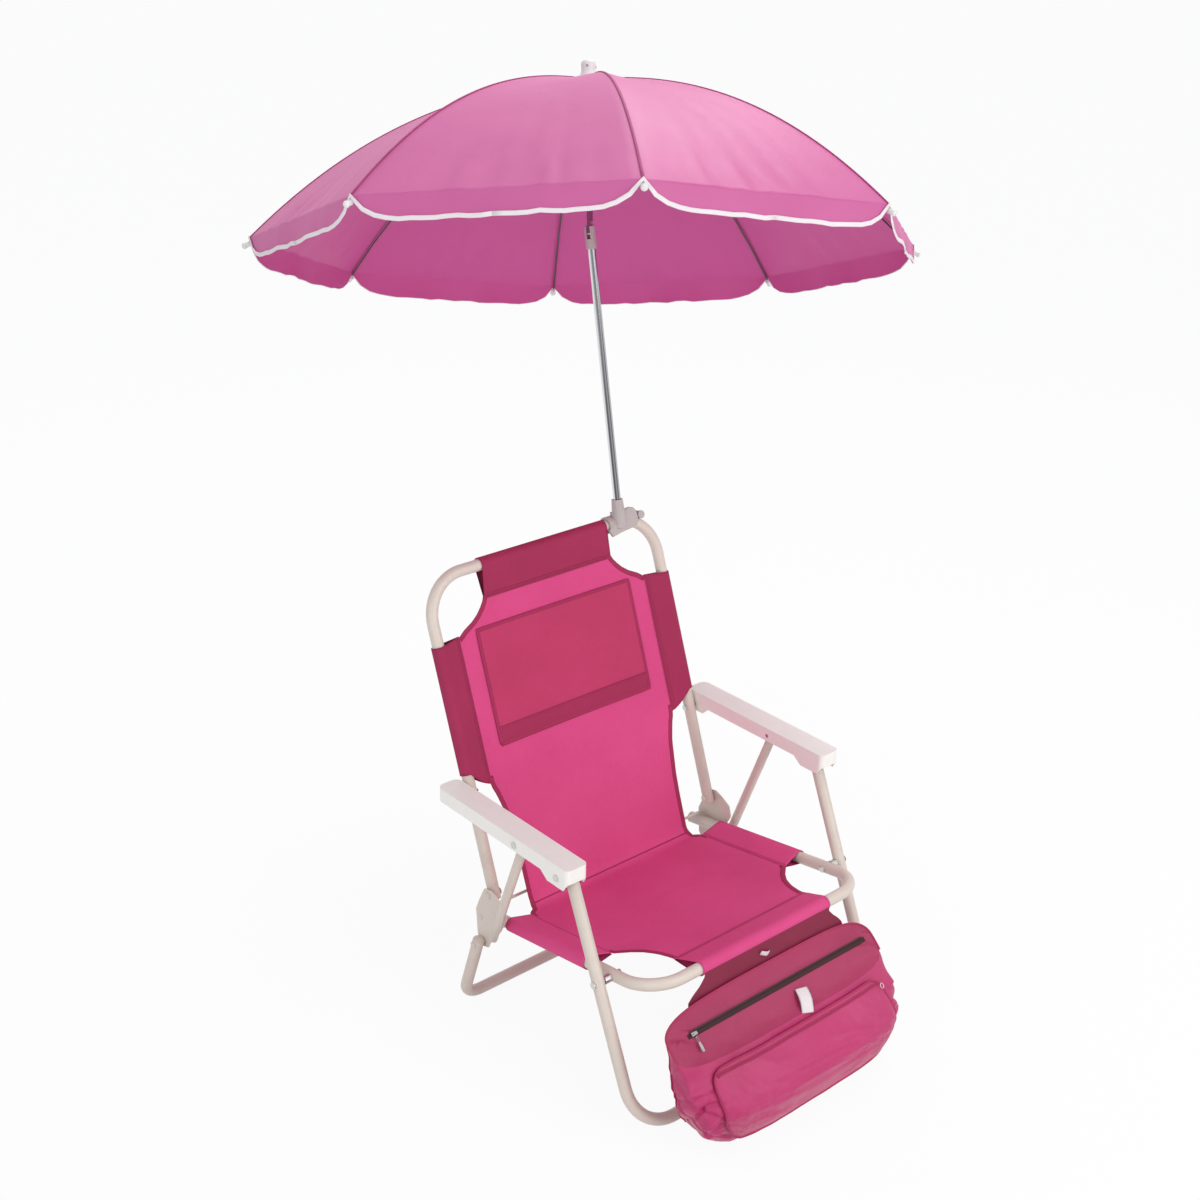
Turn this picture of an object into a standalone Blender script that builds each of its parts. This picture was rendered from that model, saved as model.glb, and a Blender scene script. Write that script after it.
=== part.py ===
import math

import bmesh
import bpy
from mathutils import Matrix, Vector

# Clearances and facet counts
GAP = 0.0003
HOLE_GAP = 0.0004
WELD = 0.00002
TUBE_SIDES = 12
BEND_STEPS = 6
PIN_SIDES = 16
ROD_SIDES = 8
SIDES_TIP = 8
EDGE_ANGLE_DEG = 40.0
OVERCUT = 0.004

# Steel tube: flat to flat 19 mm
TUBE_APOTHEM = 0.0095
TUBE_R = TUBE_APOTHEM / math.cos(math.pi / TUBE_SIDES)

# Back frame
BACK_X = 0.2358
BACK_LEAN_DEG = 19.88
BACK_PIVOT_Z = 0.3876
BACK_TOP_T = 0.3446
BACK_BEND_R = 0.070
BACK_LOW_T = -0.1755
HINGE_T = -0.1655

# Seat frame
SEAT_X = 0.2304
SEAT_REF_Y = -0.050
SEAT_REF_Z = 0.1826
SEAT_SLOPE = 0.1693
SEAT_REAR_Y = -0.022
SEAT_FRONT_Y = -0.4215
SEAT_BEND_R = 0.060

# Front leg
FRONT_LEG_X = 0.2620
FRONT_TOP_Y = -0.2720
FRONT_TOP_Z = 0.3910
FRONT_FLOOR_Y = -0.4347
FRONT_BEND_R = 0.075
FRONT_TOP_OVER = 0.008

# Rear leg
REAR_LEG_X = 0.2584
REAR_TOP_Y = -0.0420
REAR_TOP_Z = 0.1390
REAR_TOP_OVER = 0.008
REAR_BEND_R = 0.036

# Link between arm and plate
LINK_X = 0.2655
LINK_R = 0.0075
LINK_SIDES = 10
LINK_TOP_Y = -0.1735
LINK_TOP_Z = 0.3985
LINK_LOW_Y = -0.0905
LINK_LOW_Z = 0.1753
LINK_TOP_OVER = 0.006

# Arms
ARM_IN_X = 0.2485
ARM_OUT_X = 0.2889
ARM_WALL = 0.0020
ARM_TOP_Z = 0.4125
ARM_SKIRT_Z = 0.3890
ARM_EAR_Z = 0.3770
ARM_REAR_Y = 0.0190
ARM_TIP_Y = -0.2970
ARM_REAR_R = 0.0120
ARM_TIP_R = 0.0080
ARM_EAR_FRONT_Y = -0.2860
ARM_EAR_BACK_Y = -0.2570
ARM_EAR_SLOPE_Y = -0.2360
ARM_REAR_EAR_IN_Y = -0.0330
ARM_REAR_EAR_Y = -0.0160
CORNER_STEPS = 5

# Pins and rivets
PIN_R = 0.0030
HEAD_R = 0.0058
HEAD_H = 0.0018
SPACER_R = 0.0068
RIVET_INSIDE = 0.0020

# Hinge plate outline in y and z
PLATE_IN_X = 0.2463
PLATE_T = 0.0015
PLATE_TOP_Y = -0.0640
PLATE_TOP_Z = 0.2440
PLATE_TOP_BACK_Y = -0.0460
PLATE_TOP_BACK_Z = 0.2400
PLATE_BACK_HIGH_Y = -0.0330
PLATE_BACK_HIGH_Z = 0.2130
PLATE_BACK_MID_Y = -0.0240
PLATE_BACK_MID_Z = 0.1920
PLATE_BACK_LOW_Y = -0.0280
PLATE_BACK_LOW_Z = 0.1450
PLATE_LOW_Y = -0.0400
PLATE_LOW_Z = 0.1280
PLATE_LOW_FRONT_Y = -0.0560
PLATE_LOW_FRONT_Z = 0.1320
PLATE_WAIST_Y = -0.0700
PLATE_WAIST_Z = 0.1660
PLATE_LOBE_LOW_Y = -0.0860
PLATE_LOBE_LOW_Z = 0.1760
PLATE_LOBE_Y = -0.1040
PLATE_LOBE_Z = 0.2100
PLATE_LOBE_TOP_Y = -0.0980
PLATE_LOBE_TOP_Z = 0.2280
PLATE_SHOULDER_Y = -0.0780
PLATE_SHOULDER_Z = 0.2390
PLATE_FIX_FRONT_Y = -0.0840
PLATE_FIX_REAR_Y = -0.0360
PLATE_FIX_R = 0.0050

# Cross rod behind the crease
ROD_R = 0.0025
ROD_Y = -0.0400
ROD_Z = 0.1945

# Slings
CLOTH_T = 0.0020
SLEEVE_WALL = 0.0018
SLEEVE_CLEAR = 0.0006
SLEEVE_SIDES = 12
BACK_SLEEVE_TOP_HALF = 0.1300
BACK_CUT_MID_X = 0.1310
BACK_CUT_MID_T = 0.3020
BACK_CUT_LOW_X = 0.1700
BACK_CUT_LOW_T = 0.2560
BACK_SIDE_TOP_T = 0.2400
BACK_SIDE_LOW_T = 0.0335
BACK_WAIST_HIGH_X = 0.1950
BACK_WAIST_HIGH_T = 0.0060
BACK_WAIST_X = 0.1820
BACK_WAIST_T = -0.0450
BACK_WAIST_MID_X = 0.1765
BACK_WAIST_MID_T = -0.1020
BACK_WAIST_LOW_X = 0.1730
BACK_SLING_LOW_T = -0.2005
SEAT_SLING_REAR_Y = -0.0550
SEAT_SLING_REAR_X = 0.1750
SEAT_CUT_REAR_X = 0.1960
SEAT_CUT_REAR_Y = -0.0780
SEAT_SIDE_REAR_Y = -0.0920
SEAT_SIDE_FRONT_Y = -0.2820
SEAT_CUT_SIDE_X = 0.1870
SEAT_CUT_SIDE_Y = -0.2860
SEAT_CUT_MID_X = 0.1560
SEAT_CUT_MID_Y = -0.3180
SEAT_CUT_FRONT_X = 0.1390
SEAT_CUT_FRONT_Y = -0.3700
SEAT_FRONT_HALF = 0.1370

# Headrest panel on the back sling
PANEL_HALF = 0.1600
PANEL_LOW_T = 0.0560
PANEL_TOP_T = 0.2460
PANEL_T = 0.0012
PANEL_CROWN = 0.0030
PANEL_STEPS = 8

# Clamp on the top bar
CLAMP_X = 0.1660
CLAMP_HALF = 0.0300
CLAMP_WALL = 0.0040
CLAMP_CLEAR = 0.0005
CLAMP_SPLIT = 0.0006
CLAMP_SIDES = 24
CLAMP_TAIL_R = 0.0100
SOCKET_R_LOW = 0.0120
SOCKET_R_TOP = 0.0095
SOCKET_H = 0.0420
SOCKET_SINK = 0.0050
SOCKET_SIDES = 20
BORE_CLEAR = 0.0004
SCREW_R = 0.0030
SCREW_HEAD_R = 0.0070
SCREW_HEAD_H = 0.0040
SCREW_X = 0.2060

# Umbrella
POLE_R = 0.0062
POLE_SIDES = 16
POLE_BASE_X = 0.1587
POLE_BASE_Y = 0.1069
POLE_BASE_Z = 0.7136
POLE_LEAN_DEG = 10.55
POLE_LEN = 0.4810
POLE_START = 0.0140
UPPER_POLE_R = 0.0050
CANOPY_AXIS_X = 0.2232
CANOPY_AXIS_Y = 0.2974
CANOPY_AXIS_Z = 0.9283
CANOPY_TURN = 0.2414
RIB_COUNT = 8
CANOPY_R = 0.5337
CANOPY_APEX_H = 0.2418
CANOPY_RIM_H = -0.0144
CANOPY_CONE = 0.2200
CANOPY_CURVE = 2.4000
CANOPY_T = 0.0010
CANOPY_HOLE_R = 0.0092
CANOPY_RINGS = 9
CANOPY_GORE_STEPS = 6
VALANCE_DROP = 0.0400
VALANCE_FLARE = 0.0030
VALANCE_MIN = 0.0015
FINIAL_LEN = 0.0275
FINIAL_R = 0.0105
FINIAL_SIDES = 20
CROWN_DEEP = 0.0238
CROWN_R = 0.0120
RIB_R = 0.0015
RIB_SIDES = 6
RIB_BELOW = 0.0070
RIB_HINGE_R = 0.0124
RIB_STEPS = 10
RIB_DIP = 0.0130
RIB_DIP_R = 0.1000
TIP_R = 0.0036
TIP_LEN = 0.0120
STRETCH_R = 0.0013
STRETCH_SHARE = 0.5000
STRETCH_BELOW = 0.0040
RUNNER_H = 0.0800
RUNNER_R = 0.0110
RUNNER_LEN = 0.0340
RUNNER_HINGE_R = 0.0119
RUNNER_CLEAR = 0.0005
RUNNER_LOW_SHARE = 0.6000
KNUCKLE_R = 0.0088
KNUCKLE_LEN = 0.0260
KNUCKLE_OPEN = 0.0100
KNUCKLE_TONGUE = 0.0030
UPPER_START = 0.0160

# Bag under the seat's front bar
BAG_X = -0.0120
BAG_HALF_TOP = 0.2080
BAG_HALF_MID = 0.2200
BAG_HALF_LOW = 0.1900
BAG_BACK_Y = -0.4480
BAG_DEPTH_TOP = 0.0700
BAG_DEPTH_MID = 0.1060
BAG_DEPTH_LOW = 0.0900
BAG_LOW_Z = 0.0160
BAG_BACK_TOP_Z = 0.2080
BAG_MOUTH_SLOPE = 0.9000
BAG_WALL = 0.0030
BAG_RINGS = 7
BAG_SECTION_STEPS = 32
BAG_SQUARE_POWER = 4.0
BAG_FLAP_HALF = 0.1300
BAG_FLAP_T = 0.0020
POCKET_T = 0.0120
ZIP_W = 0.0100
ZIP_T = 0.0012
SLIDER_W = 0.0060
SLIDER_L = 0.0110
SLIDER_T = 0.0030
PULL_W = 0.0040
PULL_L = 0.0240
PULL_T = 0.0012
BAG_BOTTOM_ROUND = 0.0140
BAG_MID_SHARE = 0.5000
BAG_FLAP_SINK = 0.0060
POCKET_ROWS = 6
POCKET_COLUMNS = 12
POCKET_LOW_SHARE = 0.1200
POCKET_HIGH_SHARE = 0.9400
POCKET_SPREAD_DEG = 52.0
POCKET_EDGE_SHARE = 0.3500
WALL_CLEAR = 0.0016
ZIP_NEAR = 0.0200
ZIP_END = 0.0160
ZIP_LIFT = -0.0016
BAG_LID_T = 0.0020


def clear_scene():
    for obj in list(bpy.data.objects):
        bpy.data.objects.remove(obj, do_unlink=True)
    for mesh in list(bpy.data.meshes):
        bpy.data.meshes.remove(mesh)


# Materials
def material(name, colour, roughness, metallic):
    mat = bpy.data.materials.get(name)
    if mat:
        return mat
    mat = bpy.data.materials.new(name)
    mat.use_nodes = True
    shader = mat.node_tree.nodes["Principled BSDF"]
    shader.inputs["Base Color"].default_value = (*colour, 1.0)
    shader.inputs["Roughness"].default_value = roughness
    shader.inputs["Metallic"].default_value = metallic
    mat.diffuse_color = (*colour, 1.0)
    return mat


def paint():
    return material("frame_paint", (0.73, 0.66, 0.59), 0.40, 0.0)


def arm_plastic():
    return material("arm_paint", (0.77, 0.70, 0.63), 0.42, 0.0)


def steel():
    return material("bright_steel", (0.62, 0.62, 0.63), 0.25, 1.0)


def chrome():
    return material("chrome", (0.70, 0.70, 0.72), 0.12, 1.0)


def white_plastic():
    return material("white_plastic", (0.80, 0.79, 0.77), 0.45, 0.0)


def sling_cloth():
    return material("sling_fabric", (0.58, 0.045, 0.16), 0.80, 0.0)


def canopy_cloth():
    return material("canopy_fabric", (0.66, 0.13, 0.36), 0.70, 0.0)


def bag_cloth():
    return material("bag_fabric", (0.62, 0.06, 0.22), 0.60, 0.0)


def zip_tape():
    return material("zip_tape", (0.08, 0.03, 0.03), 0.70, 0.0)


# Mesh helpers
def make_object(name, verts, faces, mat, smooth=True):
    mesh = bpy.data.meshes.new(name)
    mesh.from_pydata([tuple(v) for v in verts], [], faces)
    mesh.validate()
    tidy = bmesh.new()
    tidy.from_mesh(mesh)
    bmesh.ops.recalc_face_normals(tidy, faces=tidy.faces)
    tidy.to_mesh(mesh)
    tidy.free()
    obj = bpy.data.objects.new(name, mesh)
    bpy.context.collection.objects.link(obj)
    mesh.materials.append(mat)
    if smooth:
        shade(obj)
    return obj


def shade(obj):
    for poly in obj.data.polygons:
        poly.use_smooth = True
    obj.data.set_sharp_from_angle(angle=math.radians(EDGE_ANGLE_DEG))


def combine(obj, cutters, operation):
    name = obj.name
    mat = obj.data.materials[0]
    for cutter in cutters:
        mod = obj.modifiers.new("cut", "BOOLEAN")
        mod.solver = "EXACT"
        mod.operation = operation
        mod.object = cutter
        graph = bpy.context.evaluated_depsgraph_get()
        graph.update()
        mesh = bpy.data.meshes.new_from_object(obj.evaluated_get(graph))
        obj.modifiers.clear()
        obj.data = mesh
    for cutter in cutters:
        bpy.data.objects.remove(cutter, do_unlink=True)
    obj.data.materials.clear()
    obj.data.materials.append(mat)
    obj.data.name = name
    for poly in obj.data.polygons:
        poly.material_index = 0
    weld(obj)
    shade(obj)
    return obj


def weld(obj):
    tidy = bmesh.new()
    tidy.from_mesh(obj.data)
    bmesh.ops.remove_doubles(tidy, verts=tidy.verts, dist=WELD)
    bmesh.ops.dissolve_degenerate(tidy, edges=tidy.edges, dist=WELD)
    tidy.to_mesh(obj.data)
    tidy.free()


def set_origin(obj, point):
    obj.data.transform(Matrix.Translation(-Vector(point)))
    obj.location = point
    return obj


def basis(direction):
    axis = Vector(direction).normalized()
    helper = Vector((1.0, 0.0, 0.0))
    if abs(axis.dot(helper)) > 0.9:
        helper = Vector((0.0, 1.0, 0.0))
    side = axis.cross(helper).normalized()
    return axis, side, axis.cross(side)


def sweep(path, radii, sides, normal, facet):
    count = len(path)
    verts = []
    for index in range(count):
        here = Vector(path[index])
        before = Vector(path[max(index - 1, 0)])
        after = Vector(path[min(index + 1, count - 1)])
        tangent = (after - before).normalized()
        side = Vector(normal).cross(tangent).normalized()
        up = tangent.cross(side)
        for k in range(sides):
            angle = facet + math.pi / sides + 2.0 * math.pi * k / sides
            reach = up * math.cos(angle) + side * math.sin(angle)
            verts.append(here + reach * radii[index])
    faces = []
    for index in range(count - 1):
        for k in range(sides):
            a = index * sides + k
            b = index * sides + (k + 1) % sides
            faces.append((a, b, b + sides, a + sides))
    faces.append(tuple(range(sides))[::-1])
    faces.append(tuple((count - 1) * sides + k for k in range(sides)))
    return verts, faces


def tube(name, path, radius, sides, normal, facet, mat):
    verts, faces = sweep(path, [radius] * len(path), sides, normal, facet)
    return make_object(name, verts, faces, mat)


def rounded(points, radius, steps):
    path = [Vector(points[0])]
    for index in range(1, len(points) - 1):
        corner = Vector(points[index])
        inward = (Vector(points[index - 1]) - corner).normalized()
        outward = (Vector(points[index + 1]) - corner).normalized()
        half = inward.angle(outward) / 2.0
        reach = radius / math.tan(half)
        centre = corner + (inward + outward).normalized() * (radius / math.sin(half))
        start = corner + inward * reach - centre
        end = corner + outward * reach - centre
        for step in range(steps + 1):
            path.append(centre + start.slerp(end, step / steps).normalized() * radius)
    path.append(Vector(points[-1]))
    return path


def lathe(name, profile, origin, direction, sides, mat):
    axis, side, up = basis(direction)
    verts = []
    faces = []
    count = len(profile)
    for along, radius in profile:
        for k in range(sides):
            angle = 2.0 * math.pi * k / sides
            reach = side * math.cos(angle) + up * math.sin(angle)
            verts.append(Vector(origin) + axis * along + reach * radius)
    for index in range(count - 1):
        for k in range(sides):
            a = index * sides + k
            b = index * sides + (k + 1) % sides
            faces.append((a, b, b + sides, a + sides))
    faces.append(tuple(range(sides))[::-1])
    faces.append(tuple((count - 1) * sides + k for k in range(sides)))
    return make_object(name, verts, faces, mat)


def ring_lathe(name, outer, inner, origin, direction, sides, mat):
    axis, side, up = basis(direction)
    loop = outer + inner[::-1]
    verts = []
    faces = []
    count = len(loop)
    for along, radius in loop:
        for k in range(sides):
            angle = 2.0 * math.pi * k / sides
            reach = side * math.cos(angle) + up * math.sin(angle)
            verts.append(Vector(origin) + axis * along + reach * radius)
    for index in range(count):
        other = (index + 1) % count
        for k in range(sides):
            b = (k + 1) % sides
            faces.append((index * sides + k, index * sides + b, other * sides + b, other * sides + k))
    return make_object(name, verts, faces, mat)


def prism(name, outline, origin, across, up, depth_dir, depth, mat):
    verts = []
    count = len(outline)
    for shift in (0.0, depth):
        for a, b in outline:
            base = Vector(origin) + Vector(across) * a + Vector(up) * b
            verts.append(base + Vector(depth_dir) * shift)
    faces = [tuple(range(count))[::-1], tuple(range(count, count + count))]
    for k in range(count):
        b = (k + 1) % count
        faces.append((k, b, b + count, k + count))
    return make_object(name, verts, faces, mat)


def round_outline(points, radii, steps):
    outline = []
    count = len(points)
    for index in range(count):
        corner = Vector(points[index])
        radius = radii[index]
        if radius == 0.0:
            outline.append(tuple(corner))
            continue
        inward = (Vector(points[index - 1]) - corner).normalized()
        outward = (Vector(points[(index + 1) % count]) - corner).normalized()
        half = inward.angle(outward) / 2.0
        reach = radius / math.tan(half)
        centre = corner + (inward + outward).normalized() * (radius / math.sin(half))
        start = corner + inward * reach - centre
        end = corner + outward * reach - centre
        total = start.angle(end)
        turn = 1.0 if start.x * end.y - start.y * end.x > 0.0 else -1.0
        for step in range(steps + 1):
            angle = turn * total * step / steps
            cos, sin = math.cos(angle), math.sin(angle)
            swung = Vector((start.x * cos - start.y * sin, start.x * sin + start.y * cos))
            outline.append(tuple(centre + swung))
    return outline


# Reference directions
LEAN = math.radians(BACK_LEAN_DEG)
BACK_DIR = Vector((0.0, math.sin(LEAN), math.cos(LEAN)))
BACK_NORMAL = Vector((0.0, -math.cos(LEAN), math.sin(LEAN)))
SEAT_DIR = Vector((0.0, 1.0, -SEAT_SLOPE)).normalized()
SEAT_NORMAL = Vector((0.0, SEAT_SLOPE, 1.0)).normalized()
FRONT_TOP = Vector((0.0, FRONT_TOP_Y, FRONT_TOP_Z))
FRONT_FLOOR = Vector((0.0, FRONT_FLOOR_Y, TUBE_APOTHEM))
FRONT_DIR = (FRONT_TOP - FRONT_FLOOR).normalized()
REAR_TOP = Vector((0.0, REAR_TOP_Y, REAR_TOP_Z))
REAR_FLOOR = Vector((0.0, 0.0, TUBE_APOTHEM))
REAR_DIR = (REAR_TOP - REAR_FLOOR).normalized()
LINK_TOP = Vector((0.0, LINK_TOP_Y, LINK_TOP_Z))
LINK_LOW = Vector((0.0, LINK_LOW_Y, LINK_LOW_Z))
X_DIR = Vector((1.0, 0.0, 0.0))
Y_DIR = Vector((0.0, 1.0, 0.0))
Z_DIR = Vector((0.0, 0.0, 1.0))
POLE_LEAN = math.radians(POLE_LEAN_DEG)
POLE_DIR = Vector((0.0, math.sin(POLE_LEAN), math.cos(POLE_LEAN)))
POLE_BASE = Vector((POLE_BASE_X, POLE_BASE_Y, POLE_BASE_Z))
TILT_POINT = POLE_BASE + POLE_DIR * POLE_LEN
CANOPY_DIR = Vector((CANOPY_AXIS_X, CANOPY_AXIS_Y, CANOPY_AXIS_Z)).normalized()
CANOPY_X = (X_DIR - CANOPY_DIR * CANOPY_DIR.x).normalized()
CANOPY_Y = CANOPY_DIR.cross(CANOPY_X)
TILT_AXIS = POLE_DIR.cross(CANOPY_DIR).normalized()
SIDES = (("left", -1.0), ("right", 1.0))
CLEAR_R = TUBE_R + SLEEVE_CLEAR
SLEEVE_R = CLEAR_R + SLEEVE_WALL


def back_point(x, t):
    return Vector((x, 0.0, BACK_PIVOT_Z)) + BACK_DIR * t


def seat_point(x, y):
    return Vector((x, y, SEAT_REF_Z - (y - SEAT_REF_Y) * SEAT_SLOPE))


def seat_along(y):
    return (y - SEAT_REF_Y) / SEAT_DIR.y


def leg_crossing():
    rise = (FRONT_TOP.z - FRONT_FLOOR.z) / (FRONT_TOP.y - FRONT_FLOOR.y)
    seat_zero = SEAT_REF_Z + SEAT_REF_Y * SEAT_SLOPE
    y = (seat_zero - FRONT_TOP.z + rise * FRONT_TOP.y) / (rise + SEAT_SLOPE)
    return seat_point(0.0, y)


LEG_PIVOT = leg_crossing()
HINGE_POINT = back_point(0.0, HINGE_T)


def at_x(point, x):
    return Vector((x, point.y, point.z))


def facet_down(normal):
    side = Vector(normal).cross(X_DIR)
    return math.atan2(-side.z, -Vector(normal).z)


def side_pin(name, sign, profile, point, mat):
    shares = [(along, radius) for along, radius in profile]
    return lathe(name, shares, at_x(point, 0.0), (sign, 0.0, 0.0), PIN_SIDES, mat)


def hole(sign, x, point, radius, reach):
    profile = [(x - reach, radius), (x + reach, radius)]
    return side_pin("hole", sign, profile, point, steel())


# Frame tubes
def back_path(half):
    corners = [back_point(-half, BACK_LOW_T), back_point(-half, BACK_TOP_T)]
    corners += [back_point(half, BACK_TOP_T), back_point(half, BACK_LOW_T)]
    return rounded(corners, BACK_BEND_R, BEND_STEPS)


def seat_path(half):
    corners = [seat_point(-half, SEAT_REAR_Y), seat_point(-half, SEAT_FRONT_Y)]
    corners += [seat_point(half, SEAT_FRONT_Y), seat_point(half, SEAT_REAR_Y)]
    return rounded(corners, SEAT_BEND_R, BEND_STEPS)


def leg_path(half, top, floor, over, bend):
    reach = (top - floor).normalized() * over
    corners = [at_x(top + reach, -half), at_x(floor, -half)]
    corners += [at_x(floor, half), at_x(top + reach, half)]
    return rounded(corners, bend, BEND_STEPS)


def build_back_frame():
    obj = tube("back_frame", back_path(BACK_X), TUBE_R, TUBE_SIDES, BACK_NORMAL, 0.0, paint())
    cutters = []
    for _, sign in SIDES:
        cutters.append(hole(sign, BACK_X, back_point(0.0, 0.0), PIN_R + HOLE_GAP, SOCKET_R_LOW))
        cutters.append(hole(sign, BACK_X, HINGE_POINT, PIN_R + HOLE_GAP, SOCKET_R_LOW))
    combine(obj, cutters, "DIFFERENCE")
    return set_origin(obj, HINGE_POINT)


def build_seat_frame():
    obj = tube("seat_frame", seat_path(SEAT_X), TUBE_R, TUBE_SIDES, SEAT_NORMAL, 0.0, paint())
    cutters = [hole(sign, SEAT_X, LEG_PIVOT, PIN_R + HOLE_GAP, SOCKET_R_LOW) for _, sign in SIDES]
    return combine(obj, cutters, "DIFFERENCE")


def build_front_leg():
    normal = X_DIR.cross(FRONT_DIR)
    path = leg_path(FRONT_LEG_X, FRONT_TOP, FRONT_FLOOR, FRONT_TOP_OVER, FRONT_BEND_R)
    obj = tube("front_leg", path, TUBE_R, TUBE_SIDES, normal, facet_down(normal), paint())
    cutters = [hole(sign, FRONT_LEG_X, LEG_PIVOT, PIN_R + HOLE_GAP, SOCKET_R_LOW) for _, sign in SIDES]
    combine(obj, cutters, "DIFFERENCE")
    return set_origin(obj, LEG_PIVOT)


def build_rear_leg():
    normal = X_DIR.cross(REAR_DIR)
    path = leg_path(REAR_LEG_X, REAR_TOP, REAR_FLOOR, REAR_TOP_OVER, REAR_BEND_R)
    obj = tube("rear_leg", path, TUBE_R, TUBE_SIDES, normal, facet_down(normal), paint())
    cutters = [hole(sign, REAR_LEG_X, REAR_TOP, PIN_R + HOLE_GAP, SOCKET_R_LOW) for _, sign in SIDES]
    combine(obj, cutters, "DIFFERENCE")
    return set_origin(obj, REAR_TOP)


def build_link(label, sign):
    along = (LINK_TOP - LINK_LOW).normalized()
    path = [at_x(LINK_LOW, sign * LINK_X), at_x(LINK_TOP + along * LINK_TOP_OVER, sign * LINK_X)]
    obj = tube("link_" + label, path, LINK_R, LINK_SIDES, X_DIR, 0.0, paint())
    combine(obj, [hole(sign, LINK_X, LINK_TOP, PIN_R + HOLE_GAP, SOCKET_R_LOW)], "DIFFERENCE")
    return set_origin(obj, at_x(LINK_TOP, sign * LINK_X))


# Arms
def arm_plan(inset):
    points = [(ARM_IN_X + inset, ARM_TIP_Y + inset), (ARM_OUT_X - inset, ARM_TIP_Y + inset)]
    points += [(ARM_OUT_X - inset, ARM_REAR_Y - inset), (ARM_IN_X + inset, ARM_REAR_Y - inset)]
    tip = ARM_TIP_R - inset
    rear = ARM_REAR_R - inset
    return round_outline(points, [tip, tip, rear, rear], CORNER_STEPS)


def arm_under(front_y, back_y, slope_front, slope_back):
    low = ARM_EAR_Z - OVERCUT
    points = [(front_y, low), (back_y, low), (back_y + slope_back, ARM_SKIRT_Z)]
    return points + [(front_y + slope_front, ARM_SKIRT_Z)]


def build_arm(label, sign):
    base = Vector((0.0, 0.0, ARM_EAR_Z))
    across = X_DIR * sign
    height = ARM_TOP_Z - ARM_EAR_Z
    obj = prism("arm_" + label, arm_plan(0.0), base, across, Y_DIR, Z_DIR, height, arm_plastic())
    low = base - Z_DIR * OVERCUT
    depth = height + OVERCUT - ARM_WALL
    pocket = prism("pocket", arm_plan(ARM_WALL), low, across, Y_DIR, Z_DIR, depth, steel())
    cutters = [pocket]
    slope = ARM_EAR_SLOPE_Y - ARM_EAR_BACK_Y
    middle = (ARM_IN_X + ARM_OUT_X) / 2.0
    inner = Vector((sign * (ARM_IN_X - OVERCUT), 0.0, 0.0))
    outer = Vector((sign * middle, 0.0, 0.0))
    wide = middle - ARM_IN_X + OVERCUT
    outer_cut = arm_under(ARM_EAR_BACK_Y, ARM_REAR_Y + OVERCUT, slope, 0.0)
    inner_cut = arm_under(ARM_EAR_BACK_Y, ARM_REAR_EAR_IN_Y, slope, 0.0)
    inner_cut[2] = (ARM_REAR_EAR_IN_Y, ARM_SKIRT_Z)
    inner_cut[1] = (ARM_REAR_EAR_Y, ARM_EAR_Z - OVERCUT)
    tip_cut = [(ARM_TIP_Y - OVERCUT, ARM_EAR_Z - OVERCUT), (ARM_EAR_FRONT_Y, ARM_EAR_Z - OVERCUT)]
    tip_cut += [(ARM_TIP_Y + ARM_WALL, ARM_SKIRT_Z), (ARM_TIP_Y - OVERCUT, ARM_SKIRT_Z)]
    cutters.append(prism("outer_cut", outer_cut, outer, Y_DIR, Z_DIR, across, wide, steel()))
    cutters.append(prism("inner_cut", inner_cut, inner, Y_DIR, Z_DIR, across, wide, steel()))
    cutters.append(prism("tip_cut", tip_cut, inner, Y_DIR, Z_DIR, across, wide + wide, steel()))
    cutters.append(hole(sign, ARM_IN_X, back_point(0.0, 0.0), PIN_R + HOLE_GAP, OVERCUT))
    cutters.append(hole(sign, middle, LINK_TOP, PIN_R + HOLE_GAP, wide))
    cutters.append(hole(sign, ARM_OUT_X, FRONT_TOP, PIN_R + HOLE_GAP, OVERCUT))
    combine(obj, cutters, "DIFFERENCE")
    return set_origin(obj, at_x(back_point(0.0, 0.0), sign * middle))


# Pins, rivets and plates
def build_arm_pin(label, sign):
    inside = BACK_X - TUBE_R - GAP
    outside = ARM_IN_X + ARM_WALL + GAP
    profile = [(inside - HEAD_H, HEAD_R - HEAD_H), (inside - HEAD_H / 2.0, HEAD_R), (inside, HEAD_R)]
    profile += [(inside, PIN_R), (outside, PIN_R), (outside, HEAD_R), (outside + HEAD_H, HEAD_R)]
    return side_pin("arm_pivot_pin_" + label, sign, profile, back_point(0.0, 0.0), steel())


def build_link_pin(label, sign):
    outside = ARM_OUT_X + GAP
    profile = [(ARM_IN_X + GAP, PIN_R), (outside, PIN_R), (outside, HEAD_R)]
    profile += [(outside + HEAD_H / 2.0, HEAD_R), (outside + HEAD_H, HEAD_R - HEAD_H)]
    return side_pin("link_rivet_" + label, sign, profile, LINK_TOP, steel())


def build_front_rivet(label, sign):
    outside = ARM_OUT_X + GAP
    inside = ARM_OUT_X - ARM_WALL - RIVET_INSIDE
    profile = [(inside, PIN_R), (outside, PIN_R), (outside, HEAD_R)]
    profile += [(outside + HEAD_H / 2.0, HEAD_R), (outside + HEAD_H, HEAD_R - HEAD_H)]
    return side_pin("front_rivet_" + label, sign, profile, FRONT_TOP, steel())


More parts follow.
